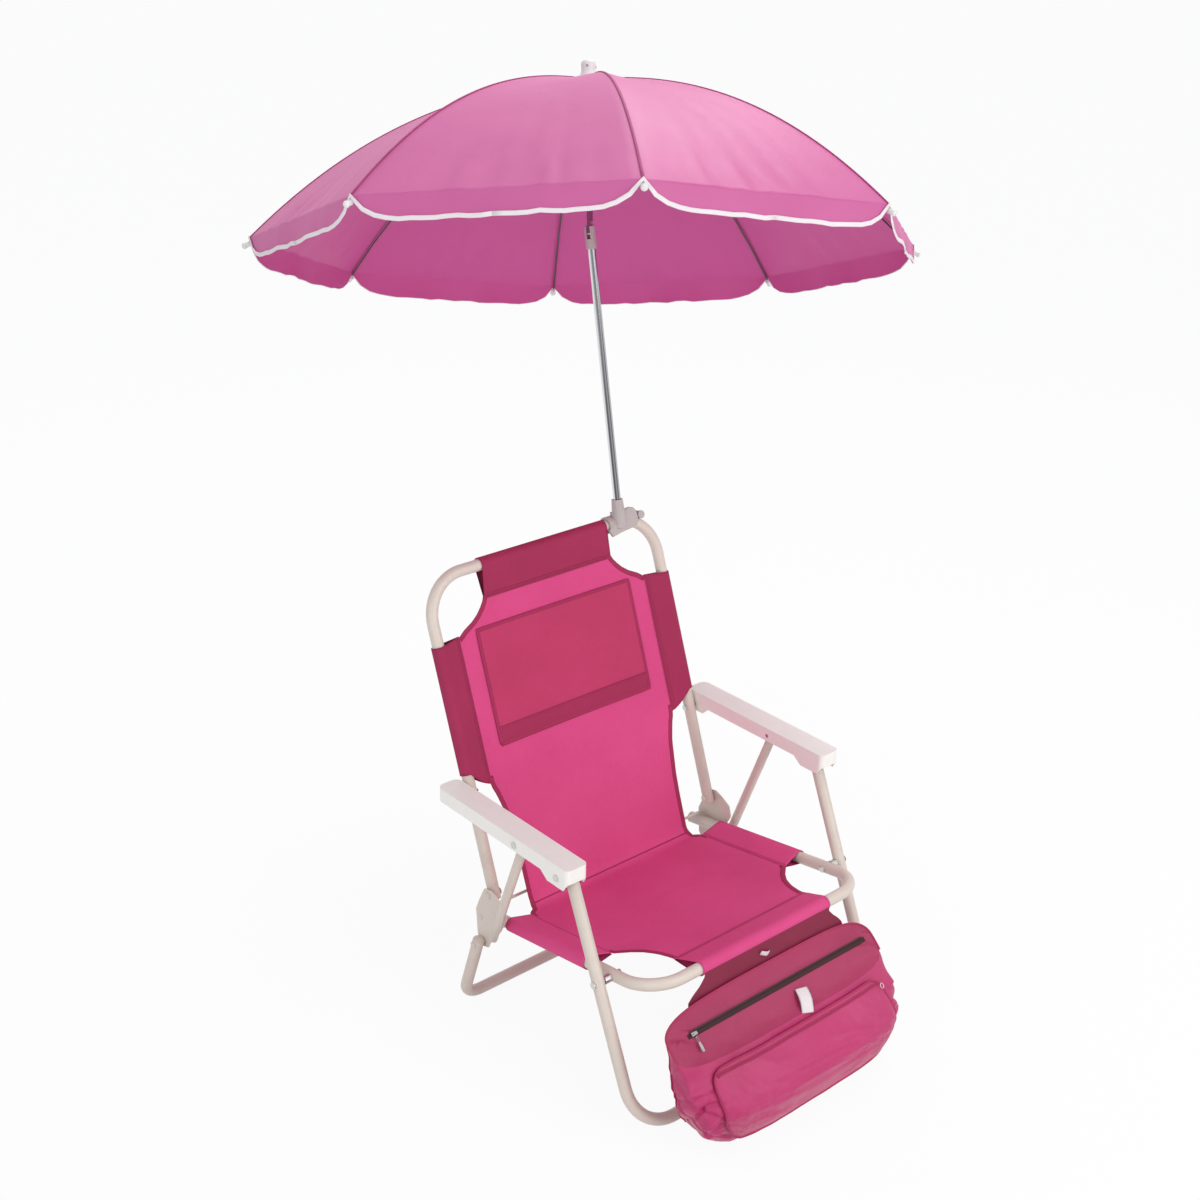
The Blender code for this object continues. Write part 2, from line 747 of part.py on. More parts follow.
def build_leg_pin(label, sign):
    inside = SEAT_X - TUBE_R - GAP
    space_in = SEAT_X + TUBE_R + GAP
    space_out = FRONT_LEG_X - TUBE_R - GAP
    outside = FRONT_LEG_X + TUBE_R + GAP
    profile = [(inside - HEAD_H, HEAD_R - HEAD_H), (inside - HEAD_H / 2.0, HEAD_R), (inside, HEAD_R)]
    profile += [(inside, PIN_R), (space_in, PIN_R), (space_in, SPACER_R), (space_out, SPACER_R)]
    profile += [(space_out, PIN_R), (outside, PIN_R), (outside, HEAD_R)]
    profile += [(outside + HEAD_H / 2.0, HEAD_R), (outside + HEAD_H, HEAD_R - HEAD_H)]
    return side_pin("leg_pivot_pin_" + label, sign, profile, LEG_PIVOT, steel())


def plate_outline():
    points = [(PLATE_TOP_Y, PLATE_TOP_Z), (PLATE_TOP_BACK_Y, PLATE_TOP_BACK_Z)]
    points += [(PLATE_BACK_HIGH_Y, PLATE_BACK_HIGH_Z), (PLATE_BACK_MID_Y, PLATE_BACK_MID_Z)]
    points += [(PLATE_BACK_LOW_Y, PLATE_BACK_LOW_Z), (PLATE_LOW_Y, PLATE_LOW_Z)]
    points += [(PLATE_LOW_FRONT_Y, PLATE_LOW_FRONT_Z), (PLATE_WAIST_Y, PLATE_WAIST_Z)]
    points += [(PLATE_LOBE_LOW_Y, PLATE_LOBE_LOW_Z), (PLATE_LOBE_Y, PLATE_LOBE_Z)]
    points += [(PLATE_LOBE_TOP_Y, PLATE_LOBE_TOP_Z), (PLATE_SHOULDER_Y, PLATE_SHOULDER_Z)]
    small = PLATE_FIX_R
    return round_outline(points, [small] * len(points), 2)


def build_plate(label, sign):
    start = Vector((sign * PLATE_IN_X, 0.0, 0.0))
    across = X_DIR * sign
    obj = prism("hinge_plate_" + label, plate_outline(), start, Y_DIR, Z_DIR, across, PLATE_T, paint())
    middle = PLATE_IN_X + PLATE_T / 2.0
    outer = PLATE_IN_X + PLATE_T
    inside = BACK_X - TUBE_R - GAP
    pin = [(inside - HEAD_H, HEAD_R - HEAD_H), (inside - HEAD_H / 2.0, HEAD_R), (inside, HEAD_R)]
    pin += [(inside, PIN_R), (middle, PIN_R), (middle, HEAD_R), (outer + HEAD_H, HEAD_R)]
    added = [side_pin("back_pin", sign, pin, HINGE_POINT, steel())]
    leg_out = REAR_LEG_X + TUBE_R + GAP
    pin = [(middle, PIN_R), (leg_out, PIN_R), (leg_out, HEAD_R), (leg_out + HEAD_H, HEAD_R - HEAD_H)]
    added.append(side_pin("leg_pin", sign, pin, REAR_TOP, steel()))
    fix = [(SEAT_X + TUBE_R + GAP, PLATE_FIX_R), (outer + HEAD_H / 2.0, PLATE_FIX_R)]
    fix += [(outer + HEAD_H, PLATE_FIX_R - HEAD_H)]
    for y in (PLATE_FIX_FRONT_Y, PLATE_FIX_REAR_Y):
        added.append(side_pin("fix", sign, fix, seat_point(0.0, y), steel()))
    return combine(obj, added, "UNION")


def build_cross_rod():
    reach = PLATE_IN_X - GAP
    start = Vector((-reach, ROD_Y, ROD_Z))
    return lathe("cross_rod", [(0.0, ROD_R), (reach + reach, ROD_R)], start, X_DIR, ROD_SIDES, steel())


# Slings
def mirrored(half_points):
    return half_points + [(-x, other) for x, other in reversed(half_points)]


def build_back_sling():
    half = [(BACK_SLEEVE_TOP_HALF, BACK_TOP_T), (BACK_CUT_MID_X, BACK_CUT_MID_T)]
    half += [(BACK_CUT_LOW_X, BACK_CUT_LOW_T), (BACK_X, BACK_SIDE_TOP_T), (BACK_X, BACK_SIDE_LOW_T)]
    half += [(BACK_WAIST_HIGH_X, BACK_WAIST_HIGH_T), (BACK_WAIST_X, BACK_WAIST_T)]
    half += [(BACK_WAIST_MID_X, BACK_WAIST_MID_T), (BACK_WAIST_LOW_X, BACK_SLING_LOW_T)]
    origin = back_point(0.0, 0.0) - BACK_NORMAL * (CLOTH_T / 2.0)
    outline = mirrored(half)
    obj = prism("back_sling", outline, origin, X_DIR, BACK_DIR, BACK_NORMAL, CLOTH_T, sling_cloth())
    added = []
    for _, sign in SIDES:
        path = [back_point(sign * BACK_X, BACK_SIDE_LOW_T), back_point(sign * BACK_X, BACK_SIDE_TOP_T)]
        added.append(tube("sleeve", path, SLEEVE_R, SLEEVE_SIDES, BACK_NORMAL, 0.0, steel()))
    path = [back_point(-BACK_SLEEVE_TOP_HALF, BACK_TOP_T), back_point(BACK_SLEEVE_TOP_HALF, BACK_TOP_T)]
    added.append(tube("sleeve", path, SLEEVE_R, SLEEVE_SIDES, BACK_NORMAL, 0.0, steel()))
    combine(obj, added, "UNION")
    core = tube("core", back_path(BACK_X), CLEAR_R, TUBE_SIDES, BACK_NORMAL, 0.0, steel())
    combine(obj, [core], "DIFFERENCE")
    return set_origin(obj, HINGE_POINT)


def build_seat_sling():
    half = [(SEAT_SLING_REAR_X, SEAT_SLING_REAR_Y), (SEAT_CUT_REAR_X, SEAT_CUT_REAR_Y)]
    half += [(SEAT_X, SEAT_SIDE_REAR_Y), (SEAT_X, SEAT_SIDE_FRONT_Y), (SEAT_CUT_SIDE_X, SEAT_CUT_SIDE_Y)]
    half += [(SEAT_CUT_MID_X, SEAT_CUT_MID_Y), (SEAT_CUT_FRONT_X, SEAT_CUT_FRONT_Y)]
    half += [(SEAT_FRONT_HALF, SEAT_FRONT_Y)]
    outline = mirrored([(x, seat_along(y)) for x, y in half])
    origin = seat_point(0.0, SEAT_REF_Y) - SEAT_NORMAL * (CLOTH_T / 2.0)
    obj = prism("seat_sling", outline, origin, X_DIR, SEAT_DIR, SEAT_NORMAL, CLOTH_T, sling_cloth())
    added = []
    for _, sign in SIDES:
        path = [seat_point(sign * SEAT_X, SEAT_SIDE_FRONT_Y), seat_point(sign * SEAT_X, SEAT_SIDE_REAR_Y)]
        added.append(tube("sleeve", path, SLEEVE_R, SLEEVE_SIDES, SEAT_NORMAL, 0.0, steel()))
    path = [seat_point(-SEAT_FRONT_HALF, SEAT_FRONT_Y), seat_point(SEAT_FRONT_HALF, SEAT_FRONT_Y)]
    added.append(tube("sleeve", path, SLEEVE_R, SLEEVE_SIDES, SEAT_NORMAL, 0.0, steel()))
    combine(obj, added, "UNION")
    core = tube("core", seat_path(SEAT_X), CLEAR_R, TUBE_SIDES, SEAT_NORMAL, 0.0, steel())
    return combine(obj, [core], "DIFFERENCE")


def grid_solid(name, front, back, columns, rows, mat):
    verts = front + back
    total = len(front)
    faces = []
    for j in range(rows):
        for i in range(columns):
            a = j * (columns + 1) + i
            quad = (a, a + 1, a + columns + 2, a + columns + 1)
            faces.append(quad)
            faces.append(tuple(k + total for k in reversed(quad)))
    edge = [i for i in range(columns + 1)]
    edge += [j * (columns + 1) + columns for j in range(1, rows + 1)]
    edge += [rows * (columns + 1) + i for i in range(columns - 1, -1, -1)]
    edge += [j * (columns + 1) for j in range(rows - 1, 0, -1)]
    for k in range(len(edge)):
        a = edge[k]
        b = edge[(k + 1) % len(edge)]
        faces.append((a, a + total, b + total, b))
    return make_object(name, verts, faces, mat)


def build_headrest():
    front = []
    back = []
    base = CLOTH_T / 2.0 + GAP
    for j in range(PANEL_STEPS + 1):
        for i in range(PANEL_STEPS + 1):
            u = 2.0 * i / PANEL_STEPS - 1.0
            v = 2.0 * j / PANEL_STEPS - 1.0
            t = PANEL_LOW_T + (PANEL_TOP_T - PANEL_LOW_T) * j / PANEL_STEPS
            point = back_point(u * PANEL_HALF, t)
            crown = PANEL_CROWN * (1.0 - u ** 4) * (1.0 - v ** 4)
            front.append(point + BACK_NORMAL * (base + PANEL_T + crown))
            back.append(point + BACK_NORMAL * base)
    obj = grid_solid("headrest_panel", front, back, PANEL_STEPS, PANEL_STEPS, sling_cloth())
    return set_origin(obj, HINGE_POINT)


# Clamp
BAR_TOP = back_point(0.0, BACK_TOP_T)
CLAMP_IN_R = TUBE_R + CLAMP_CLEAR
CLAMP_OUT_R = CLAMP_IN_R + CLAMP_WALL


def clamp_ring(name):
    start = at_x(BAR_TOP, CLAMP_X - CLAMP_HALF)
    profile = [(0.0, CLAMP_OUT_R), (CLAMP_HALF, CLAMP_OUT_R)]
    return lathe(name, profile, start, X_DIR, CLAMP_SIDES, white_plastic())


def split_block(direction):
    big = SOCKET_H + SOCKET_H
    origin = at_x(BAR_TOP, CLAMP_X) - direction * (CLAMP_SPLIT / 2.0)
    outline = [(-big, -big), (big, -big), (big, big), (-big, big)]
    return prism("split", outline, origin, X_DIR, BACK_DIR, direction, big, steel())


def bar_core():
    return tube("core", back_path(BACK_X), CLAMP_IN_R, CLAMP_SIDES, BACK_NORMAL, 0.0, steel())


def build_clamp_body():
    obj = clamp_ring("clamp_body")
    socket = [(-SOCKET_SINK, SOCKET_R_LOW), (SOCKET_SINK, SOCKET_R_LOW), (SOCKET_H, SOCKET_R_TOP)]
    added = [lathe("socket", socket, POLE_BASE, POLE_DIR, SOCKET_SIDES, white_plastic())]
    tail_start = at_x(BAR_TOP, CLAMP_X - CLAMP_HALF / 2.0) + BACK_DIR * CLAMP_TAIL_R
    tail_end = at_x(BAR_TOP, CLAMP_X + CLAMP_HALF + CLAMP_HALF / 2.0) + BACK_DIR * (SCREW_R / 2.0)
    tail_mid = at_x(BAR_TOP, CLAMP_X + CLAMP_HALF / 2.0) + BACK_DIR * CLAMP_TAIL_R
    radii = [CLAMP_TAIL_R, CLAMP_TAIL_R, SCREW_HEAD_R]
    verts, faces = sweep([tail_start, tail_mid, tail_end], radii, SOCKET_SIDES, BACK_NORMAL, 0.0)
    added.append(make_object("tail", verts, faces, white_plastic()))
    combine(obj, added, "UNION")
    bore = [(POLE_START - BORE_CLEAR, POLE_R + BORE_CLEAR), (SOCKET_H + OVERCUT, POLE_R + BORE_CLEAR)]
    cutters = [lathe("bore", bore, POLE_BASE, POLE_DIR, POLE_SIDES, steel())]
    cutters += [split_block(-BACK_NORMAL), bar_core(), screw_hole()]
    return combine(obj, cutters, "DIFFERENCE")


def build_clamp_jaw():
    obj = clamp_ring("clamp_jaw")
    combine(obj, [split_block(BACK_NORMAL), bar_core()], "DIFFERENCE")
    return set_origin(obj, jaw_axis_point())


def jaw_axis_point():
    return at_x(BAR_TOP, CLAMP_X) + BACK_DIR * CLAMP_OUT_R


def screw_point():
    return at_x(BAR_TOP, SCREW_X) + BACK_DIR * SCREW_R


def screw_hole():
    profile = [(-SOCKET_H, SCREW_R + BORE_CLEAR), (SOCKET_H, SCREW_R + BORE_CLEAR)]
    return lathe("hole", profile, screw_point(), BACK_NORMAL, PIN_SIDES, steel())


def build_clamp_screw():
    face = CLAMP_TAIL_R + GAP
    profile = [(GAP + SCREW_R, SCREW_R), (face, SCREW_R), (face, SCREW_HEAD_R)]
    profile += [(face + SCREW_HEAD_H, SCREW_HEAD_R)]
    obj = lathe("clamp_screw", profile, screw_point(), BACK_NORMAL, PIN_SIDES, white_plastic())
    return set_origin(obj, screw_point())


# Umbrella pole
def build_lower_pole():
    length = POLE_LEN - KNUCKLE_LEN - GAP
    profile = [(POLE_START, POLE_R), (length, POLE_R)]
    obj = lathe("lower_pole", profile, POLE_BASE, POLE_DIR, POLE_SIDES, chrome())
    return set_origin(obj, POLE_BASE)


def build_knuckle():
    fork = [(-KNUCKLE_LEN, KNUCKLE_R), (KNUCKLE_OPEN, KNUCKLE_R)]
    obj = lathe("tilt_knuckle", fork, TILT_POINT, POLE_DIR, SOCKET_SIDES, white_plastic())
    across = TILT_AXIS
    other = POLE_DIR.cross(TILT_AXIS)
    half = KNUCKLE_TONGUE + GAP
    big = KNUCKLE_R + OVERCUT
    start = TILT_POINT - across * half
    outline = [(-big, -KNUCKLE_OPEN), (big, -KNUCKLE_OPEN), (big, KNUCKLE_LEN), (-big, KNUCKLE_LEN)]
    slot = prism("slot", outline, start, other, POLE_DIR, across, half + half, steel())
    combine(obj, [slot], "DIFFERENCE")
    reach = KNUCKLE_R - GAP - GAP
    pin = [(-reach, PIN_R - HEAD_H / 2.0), (reach, PIN_R - HEAD_H / 2.0)]
    combine(obj, [lathe("pin", pin, TILT_POINT, TILT_AXIS, PIN_SIDES, steel())], "UNION")
    return set_origin(obj, TILT_POINT)


def build_upper_pole():
    profile = [(UPPER_START, UPPER_POLE_R), (CANOPY_APEX_H - UPPER_POLE_R, UPPER_POLE_R)]
    obj = lathe("upper_pole", profile, TILT_POINT, CANOPY_DIR, POLE_SIDES, chrome())
    across = TILT_AXIS
    other = CANOPY_DIR.cross(TILT_AXIS)
    wide = KNUCKLE_OPEN / 2.0
    start = TILT_POINT - across * (KNUCKLE_TONGUE - GAP)
    high = UPPER_START + HEAD_H
    outline = [(-wide, -wide), (wide, -wide), (wide, high), (-wide, high)]
    outline = round_outline(outline, [wide / 2.0, wide / 2.0, 0.0, 0.0], 2)
    depth = (KNUCKLE_TONGUE - GAP) * 2.0
    tongue = prism("tongue", outline, start, other, CANOPY_DIR, across, depth, steel())
    combine(obj, [tongue], "UNION")
    bore = [(-KNUCKLE_R, PIN_R - HEAD_H / 2.0 + HOLE_GAP), (KNUCKLE_R, PIN_R - HEAD_H / 2.0 + HOLE_GAP)]
    combine(obj, [lathe("bore", bore, TILT_POINT, TILT_AXIS, PIN_SIDES, steel())], "DIFFERENCE")
    return set_origin(obj, TILT_POINT)


def canopy_point(radius, angle, height):
    reach = CANOPY_X * math.cos(angle) + CANOPY_Y * math.sin(angle)
    return TILT_POINT + reach * radius + CANOPY_DIR * height


def canopy_height(radius):
    share = radius / CANOPY_R
    fall = CANOPY_CONE * share + (1.0 - CANOPY_CONE) * share ** CANOPY_CURVE
    return CANOPY_APEX_H - (CANOPY_APEX_H - CANOPY_RIM_H) * fall


def rib_height(radius):
    near = max(0.0, 1.0 - radius / RIB_DIP_R)
    return canopy_height(radius) - RIB_BELOW - RIB_DIP * near ** 2


def rib_angle(index):
    return CANOPY_TURN + 2.0 * math.pi * index / RIB_COUNT


def rib_tangent(index):
    angle = rib_angle(index)
    return CANOPY_Y * math.cos(angle) - CANOPY_X * math.sin(angle)


def build_runner():
    low = -RUNNER_LEN * RUNNER_LOW_SHARE
    high = low + RUNNER_LEN
    step = RUNNER_R - RUNNER_CLEAR * 4.0
    inner_r = UPPER_POLE_R + RUNNER_CLEAR
    outer = [(low, step), (low / 2.0, step), (low / 2.0, RUNNER_R), (high / 2.0, RUNNER_R)]
    outer += [(high / 2.0, step), (high, step)]
    inner = [(low, inner_r), (high, inner_r)]
    origin = TILT_POINT + CANOPY_DIR * RUNNER_H
    obj = ring_lathe("runner", outer, inner, origin, CANOPY_DIR, SOCKET_SIDES, white_plastic())
    return set_origin(obj, origin)


def build_crown():
    low = CANOPY_APEX_H - CROWN_DEEP
    high = rib_height(RIB_HINGE_R) + RIB_BELOW
    stem = CANOPY_HOLE_R * math.cos(math.pi / RIB_COUNT) - GAP * 2.0
    seat = canopy_height(CANOPY_HOLE_R) + GAP * 2.0
    neck = seat + FINIAL_LEN / 2.0
    top = seat + FINIAL_LEN
    profile = [(low, CROWN_R), (high, CROWN_R), (high, stem), (seat, stem), (seat, FINIAL_R)]
    profile += [(neck, stem), (top - HEAD_H, stem + HEAD_H / 2.0), (top, stem - HEAD_H)]
    obj = lathe("crown_finial", profile, TILT_POINT, CANOPY_DIR, FINIAL_SIDES, white_plastic())
    deep = CANOPY_APEX_H - UPPER_POLE_R + GAP
    bore = [(low - OVERCUT, UPPER_POLE_R + GAP), (deep, UPPER_POLE_R + GAP)]
    return combine(obj, [lathe("bore", bore, TILT_POINT, CANOPY_DIR, POLE_SIDES, steel())], "DIFFERENCE")


def build_rib(index):
    angle = rib_angle(index)
    path = []
    for step in range(RIB_STEPS + 1):
        radius = RIB_HINGE_R + (CANOPY_R - RIB_HINGE_R) * step / RIB_STEPS
        path.append(canopy_point(radius, angle, rib_height(radius)))
    name = "rib_%d" % (index + 1)
    obj = tube(name, path, RIB_R, RIB_SIDES, rib_tangent(index), 0.0, steel())
    return set_origin(obj, path[0])


def build_tip(index):
    angle = rib_angle(index)
    end = canopy_point(CANOPY_R, angle, rib_height(CANOPY_R))
    before = CANOPY_R - TIP_LEN
    along = (end - canopy_point(before, angle, rib_height(before))).normalized()
    profile = [(GAP, RIB_R + GAP), (TIP_LEN / 2.0, RIB_R + GAP), (TIP_LEN - TIP_R, TIP_R)]
    profile += [(TIP_LEN, TIP_R), (TIP_LEN + TIP_R / 2.0, TIP_R / 2.0)]
    name = "rib_tip_%d" % (index + 1)
    obj = lathe(name, profile, end, along, SIDES_TIP, white_plastic())
    hinge = canopy_point(RIB_HINGE_R, angle, rib_height(RIB_HINGE_R))
    return set_origin(obj, hinge)


def build_stretcher(index):
    angle = rib_angle(index)
    low = canopy_point(RUNNER_HINGE_R, angle, RUNNER_H)
    radius = CANOPY_R * STRETCH_SHARE
    high = canopy_point(radius, angle, rib_height(radius) - STRETCH_BELOW)
    name = "stretcher_%d" % (index + 1)
    obj = tube(name, [low, high], STRETCH_R, RIB_SIDES, rib_tangent(index), 0.0, steel())
    return set_origin(obj, low)


def canopy_grid():
    rows = []
    columns = RIB_COUNT * CANOPY_GORE_STEPS
    gore = 2.0 * math.pi / RIB_COUNT
    for ring in range(CANOPY_RINGS + 3):
        inner = min(ring, CANOPY_RINGS)
        radius = CANOPY_HOLE_R + (CANOPY_R - CANOPY_HOLE_R) * inner / CANOPY_RINGS
        extra = max(ring - CANOPY_RINGS, 0) / 2.0
        row = []
        for k in range(columns):
            step = k % CANOPY_GORE_STEPS
            across = 2.0 * step / CANOPY_GORE_STEPS - 1.0
            turn = gore * across / 2.0
            angle = rib_angle(k // CANOPY_GORE_STEPS) + gore / 2.0 + turn
            chord = radius * math.cos(gore / 2.0) / math.cos(turn)
            drop = (VALANCE_MIN + (VALANCE_DROP - VALANCE_MIN) * (1.0 - across ** 4)) * extra
            flare = VALANCE_FLARE * extra * (1.0 - across ** 2)
            row.append(canopy_point(chord + flare, angle, canopy_height(radius) - drop))
        rows.append(row)
    return rows, columns


def build_canopy():
    rows, columns = canopy_grid()
    verts = [point for row in rows for point in row]
    faces = []
    for j in range(len(rows) - 1):
        for k in range(columns):
            b = (k + 1) % columns
            faces.append((j * columns + k, (j + 1) * columns + k, (j + 1) * columns + b, j * columns + b))
    sheet = bmesh.new()
    made = [sheet.verts.new(point) for point in verts]
    for face in faces:
        sheet.faces.new([made[k] for k in face])
    sheet.normal_update()
    inner = [vert.co - vert.normal * CANOPY_T for vert in made]
    sheet.free()
    total = len(verts)
    both = list(faces) + [tuple(k + total for k in reversed(face)) for face in faces]
    last = (len(rows) - 1) * columns
    for k in range(columns):
        b = (k + 1) % columns
        both.append((b, k, k + total, b + total))
        both.append((last + k, last + b, last + b + total, last + k + total))
    return make_object("canopy", verts + inner, both, canopy_cloth())


# Bag
def blend3(low, mid, high, share):
    if share < BAG_MID_SHARE:
        u = share / BAG_MID_SHARE
        return low + (mid - low) * math.sin(u * math.pi / 2.0)
    u = (share - BAG_MID_SHARE) / (1.0 - BAG_MID_SHARE)
    return mid + (high - mid) * (1.0 - math.cos(u * math.pi / 2.0))


def bag_point(share, angle, grow):
    half = blend3(BAG_HALF_LOW, BAG_HALF_MID, BAG_HALF_TOP, share) + grow
    depth = blend3(BAG_DEPTH_LOW, BAG_DEPTH_MID, BAG_DEPTH_TOP, share)
    half_depth = depth / 2.0 + grow
    power = 2.0 / BAG_SQUARE_POWER
    cos, sin = math.cos(angle), math.sin(angle)
    x = BAG_X + half * math.copysign(abs(cos) ** power, cos)
    y = BAG_BACK_Y - depth / 2.0 + half_depth * math.copysign(abs(sin) ** power, sin)
    forward = BAG_BACK_Y - y
    z = BAG_LOW_Z + share * (BAG_BACK_TOP_Z - BAG_LOW_Z) - BAG_MOUTH_SLOPE * share ** 2 * forward
    return Vector((x, y, z))


def build_bag():
    rings = []
    for k in range(BAG_RINGS + 1):
        share = k / BAG_RINGS
        round_in = -BAG_BOTTOM_ROUND if k == 0 else 0.0
        rings.append([bag_point(share, 2.0 * math.pi * i / BAG_SECTION_STEPS, round_in)
                      for i in range(BAG_SECTION_STEPS)])
    for k in range(BAG_RINGS, -1, -1):
        share = k / BAG_RINGS
        round_in = -BAG_BOTTOM_ROUND if k == 0 else 0.0
        lift = Z_DIR * (BAG_WALL if k == 0 else 0.0)
        rings.append([bag_point(share, 2.0 * math.pi * i / BAG_SECTION_STEPS, round_in - BAG_WALL) + lift
                      for i in range(BAG_SECTION_STEPS)])
    verts = [point for ring in rings for point in ring]
    faces = []
    count = BAG_SECTION_STEPS
    for j in range(len(rings) - 1):
        for i in range(count):
            b = (i + 1) % count
            faces.append((j * count + i, j * count + b, (j + 1) * count + b, (j + 1) * count + i))
    faces.append(tuple(range(count))[::-1])
    faces.append(tuple((len(rings) - 1) * count + i for i in range(count)))
    obj = make_object("bag", verts, faces, bag_cloth())
    bar = seat_point(0.0, SEAT_FRONT_Y)
    high_y = bar.y - SLEEVE_R - GAP * 2.0
    low_y = BAG_BACK_Y - BAG_WALL / 4.0
    low_z = BAG_BACK_TOP_Z - BAG_FLAP_SINK
    outline = [(high_y, bar.z), (high_y - BAG_FLAP_T, bar.z)]
    outline += [(low_y - BAG_FLAP_T, low_z), (low_y, low_z)]
    start = Vector((BAG_X - BAG_FLAP_HALF, 0.0, 0.0))
    flap = prism("flap", outline, start, Y_DIR, Z_DIR, X_DIR, BAG_FLAP_HALF * 2.0, bag_cloth())
    reach = BAG_HALF_TOP - BAG_WALL / 2.0
    lid = mouth_strip("lid", BAG_X - reach, BAG_X + reach, ZIP_NEAR + ZIP_W + GAP,
                      BAG_DEPTH_TOP - BAG_WALL / 2.0, -BAG_LID_T - GAP, -GAP, bag_cloth())
    return combine(obj, [lid, flap], "UNION")


def build_pocket():
    front = []
    back = []
    for j in range(POCKET_ROWS + 1):
        share = POCKET_LOW_SHARE + (POCKET_HIGH_SHARE - POCKET_LOW_SHARE) * j / POCKET_ROWS
        v = 2.0 * j / POCKET_ROWS - 1.0
        for i in range(POCKET_COLUMNS + 1):
            u = 2.0 * i / POCKET_COLUMNS - 1.0
            angle = -math.pi / 2.0 + u * math.radians(POCKET_SPREAD_DEG)
            crown = POCKET_EDGE_SHARE + (1.0 - POCKET_EDGE_SHARE) * (1.0 - u ** 4) * (1.0 - v ** 4)
            front.append(bag_point(share, angle, GAP + POCKET_T * crown))
            back.append(bag_point(share, angle, GAP + WALL_CLEAR))
    return grid_solid("bag_pocket", front, back, POCKET_COLUMNS, POCKET_ROWS, bag_cloth())


def mouth_point(x, forward, lift):
    y = BAG_BACK_Y - forward
    z = BAG_BACK_TOP_Z - BAG_MOUTH_SLOPE * forward
    normal = Vector((0.0, -BAG_MOUTH_SLOPE, 1.0)).normalized()
    return Vector((x, y, z)) + normal * lift


def mouth_strip(name, x_from, x_to, near, far, low, high, mat):
    verts = []
    for x in (x_from, x_to):
        for forward, lift in ((near, low), (far, low), (far, high), (near, high)):
            verts.append(mouth_point(x, forward, lift))
    faces = [(0, 1, 2, 3), (7, 6, 5, 4), (0, 4, 5, 1), (1, 5, 6, 2), (2, 6, 7, 3), (3, 7, 4, 0)]
    return make_object(name, verts, faces, mat, False)


def build_zip_tape():
    reach = BAG_HALF_TOP - ZIP_END
    return mouth_strip("zip_tape", BAG_X - reach, BAG_X + reach, ZIP_NEAR, ZIP_NEAR + ZIP_W,
                       ZIP_LIFT, ZIP_LIFT + ZIP_T, zip_tape())


def slider_x():
    return BAG_X - BAG_HALF_TOP + ZIP_END + SLIDER_L


def build_slider():
    middle = ZIP_NEAR + ZIP_W / 2.0
    low = ZIP_LIFT + ZIP_T + GAP
    x = slider_x()
    return mouth_strip("zip_slider", x - SLIDER_L / 2.0, x + SLIDER_L / 2.0, middle - SLIDER_W / 2.0,
                       middle + SLIDER_W / 2.0, low, low + SLIDER_T, steel())


def pull_point():
    middle = ZIP_NEAR + ZIP_W / 2.0 + SLIDER_W / 2.0
    return mouth_point(slider_x(), middle + GAP * 2.0, ZIP_LIFT + ZIP_T + SLIDER_T)


def build_pull():
    near = ZIP_NEAR + ZIP_W / 2.0 + SLIDER_W / 2.0 + GAP * 2.0
    low = ZIP_LIFT + ZIP_T + SLIDER_T - PULL_T
    x = slider_x()
    obj = mouth_strip("zip_pull", x - PULL_W / 2.0, x + PULL_W / 2.0, near, near + PULL_L,
                      low, low + PULL_T, steel())
    return set_origin(obj, pull_point())


def build_all():
    clear_scene()
    build_seat_frame()
    build_back_frame()
    build_front_leg()
    build_rear_leg()
    build_cross_rod()
    for label, sign in SIDES:
        build_plate(label, sign)
        build_link(label, sign)
        build_arm(label, sign)
        build_arm_pin(label, sign)
        build_link_pin(label, sign)
        build_front_rivet(label, sign)
        build_leg_pin(label, sign)
    build_back_sling()
    build_seat_sling()
    build_headrest()
    build_clamp_body()
    build_clamp_jaw()
    build_clamp_screw()
    build_lower_pole()
    build_knuckle()
    build_upper_pole()
    build_runner()
    build_crown()
    for index in range(RIB_COUNT):
        build_rib(index)
        build_tip(index)
        build_stretcher(index)
    build_canopy()
    build_bag()
    build_pocket()
    build_zip_tape()
    build_slider()
    build_pull()


build_all()
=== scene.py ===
import math

import bpy
from mathutils import Matrix, Vector, noise


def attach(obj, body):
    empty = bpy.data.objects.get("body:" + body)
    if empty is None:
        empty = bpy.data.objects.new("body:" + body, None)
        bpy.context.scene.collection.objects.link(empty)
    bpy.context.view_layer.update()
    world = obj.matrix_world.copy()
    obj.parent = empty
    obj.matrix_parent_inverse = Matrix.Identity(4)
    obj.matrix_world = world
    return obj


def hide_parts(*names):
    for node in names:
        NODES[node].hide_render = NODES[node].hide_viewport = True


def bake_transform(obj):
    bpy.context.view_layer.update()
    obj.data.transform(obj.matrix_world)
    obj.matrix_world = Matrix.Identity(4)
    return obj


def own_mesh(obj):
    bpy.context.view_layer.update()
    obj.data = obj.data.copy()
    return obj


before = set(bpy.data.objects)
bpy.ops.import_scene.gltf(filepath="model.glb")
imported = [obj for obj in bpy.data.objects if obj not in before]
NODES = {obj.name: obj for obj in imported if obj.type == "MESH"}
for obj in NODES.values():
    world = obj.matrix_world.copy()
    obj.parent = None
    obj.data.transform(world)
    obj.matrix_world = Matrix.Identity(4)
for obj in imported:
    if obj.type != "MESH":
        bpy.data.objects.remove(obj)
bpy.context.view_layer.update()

# Sizes taken over from the frame, in metres
TUBE_R = 0.0097
BACK_X = 0.2358
BACK_LEAN = math.radians(19.88)
BACK_PIVOT_Z = 0.3876
BACK_TOP_T = 0.3446
BACK_LOW_T = -0.1755
BACK_BEND_R = 0.070
SEAT_X = 0.2304
SEAT_REF_Y = -0.050
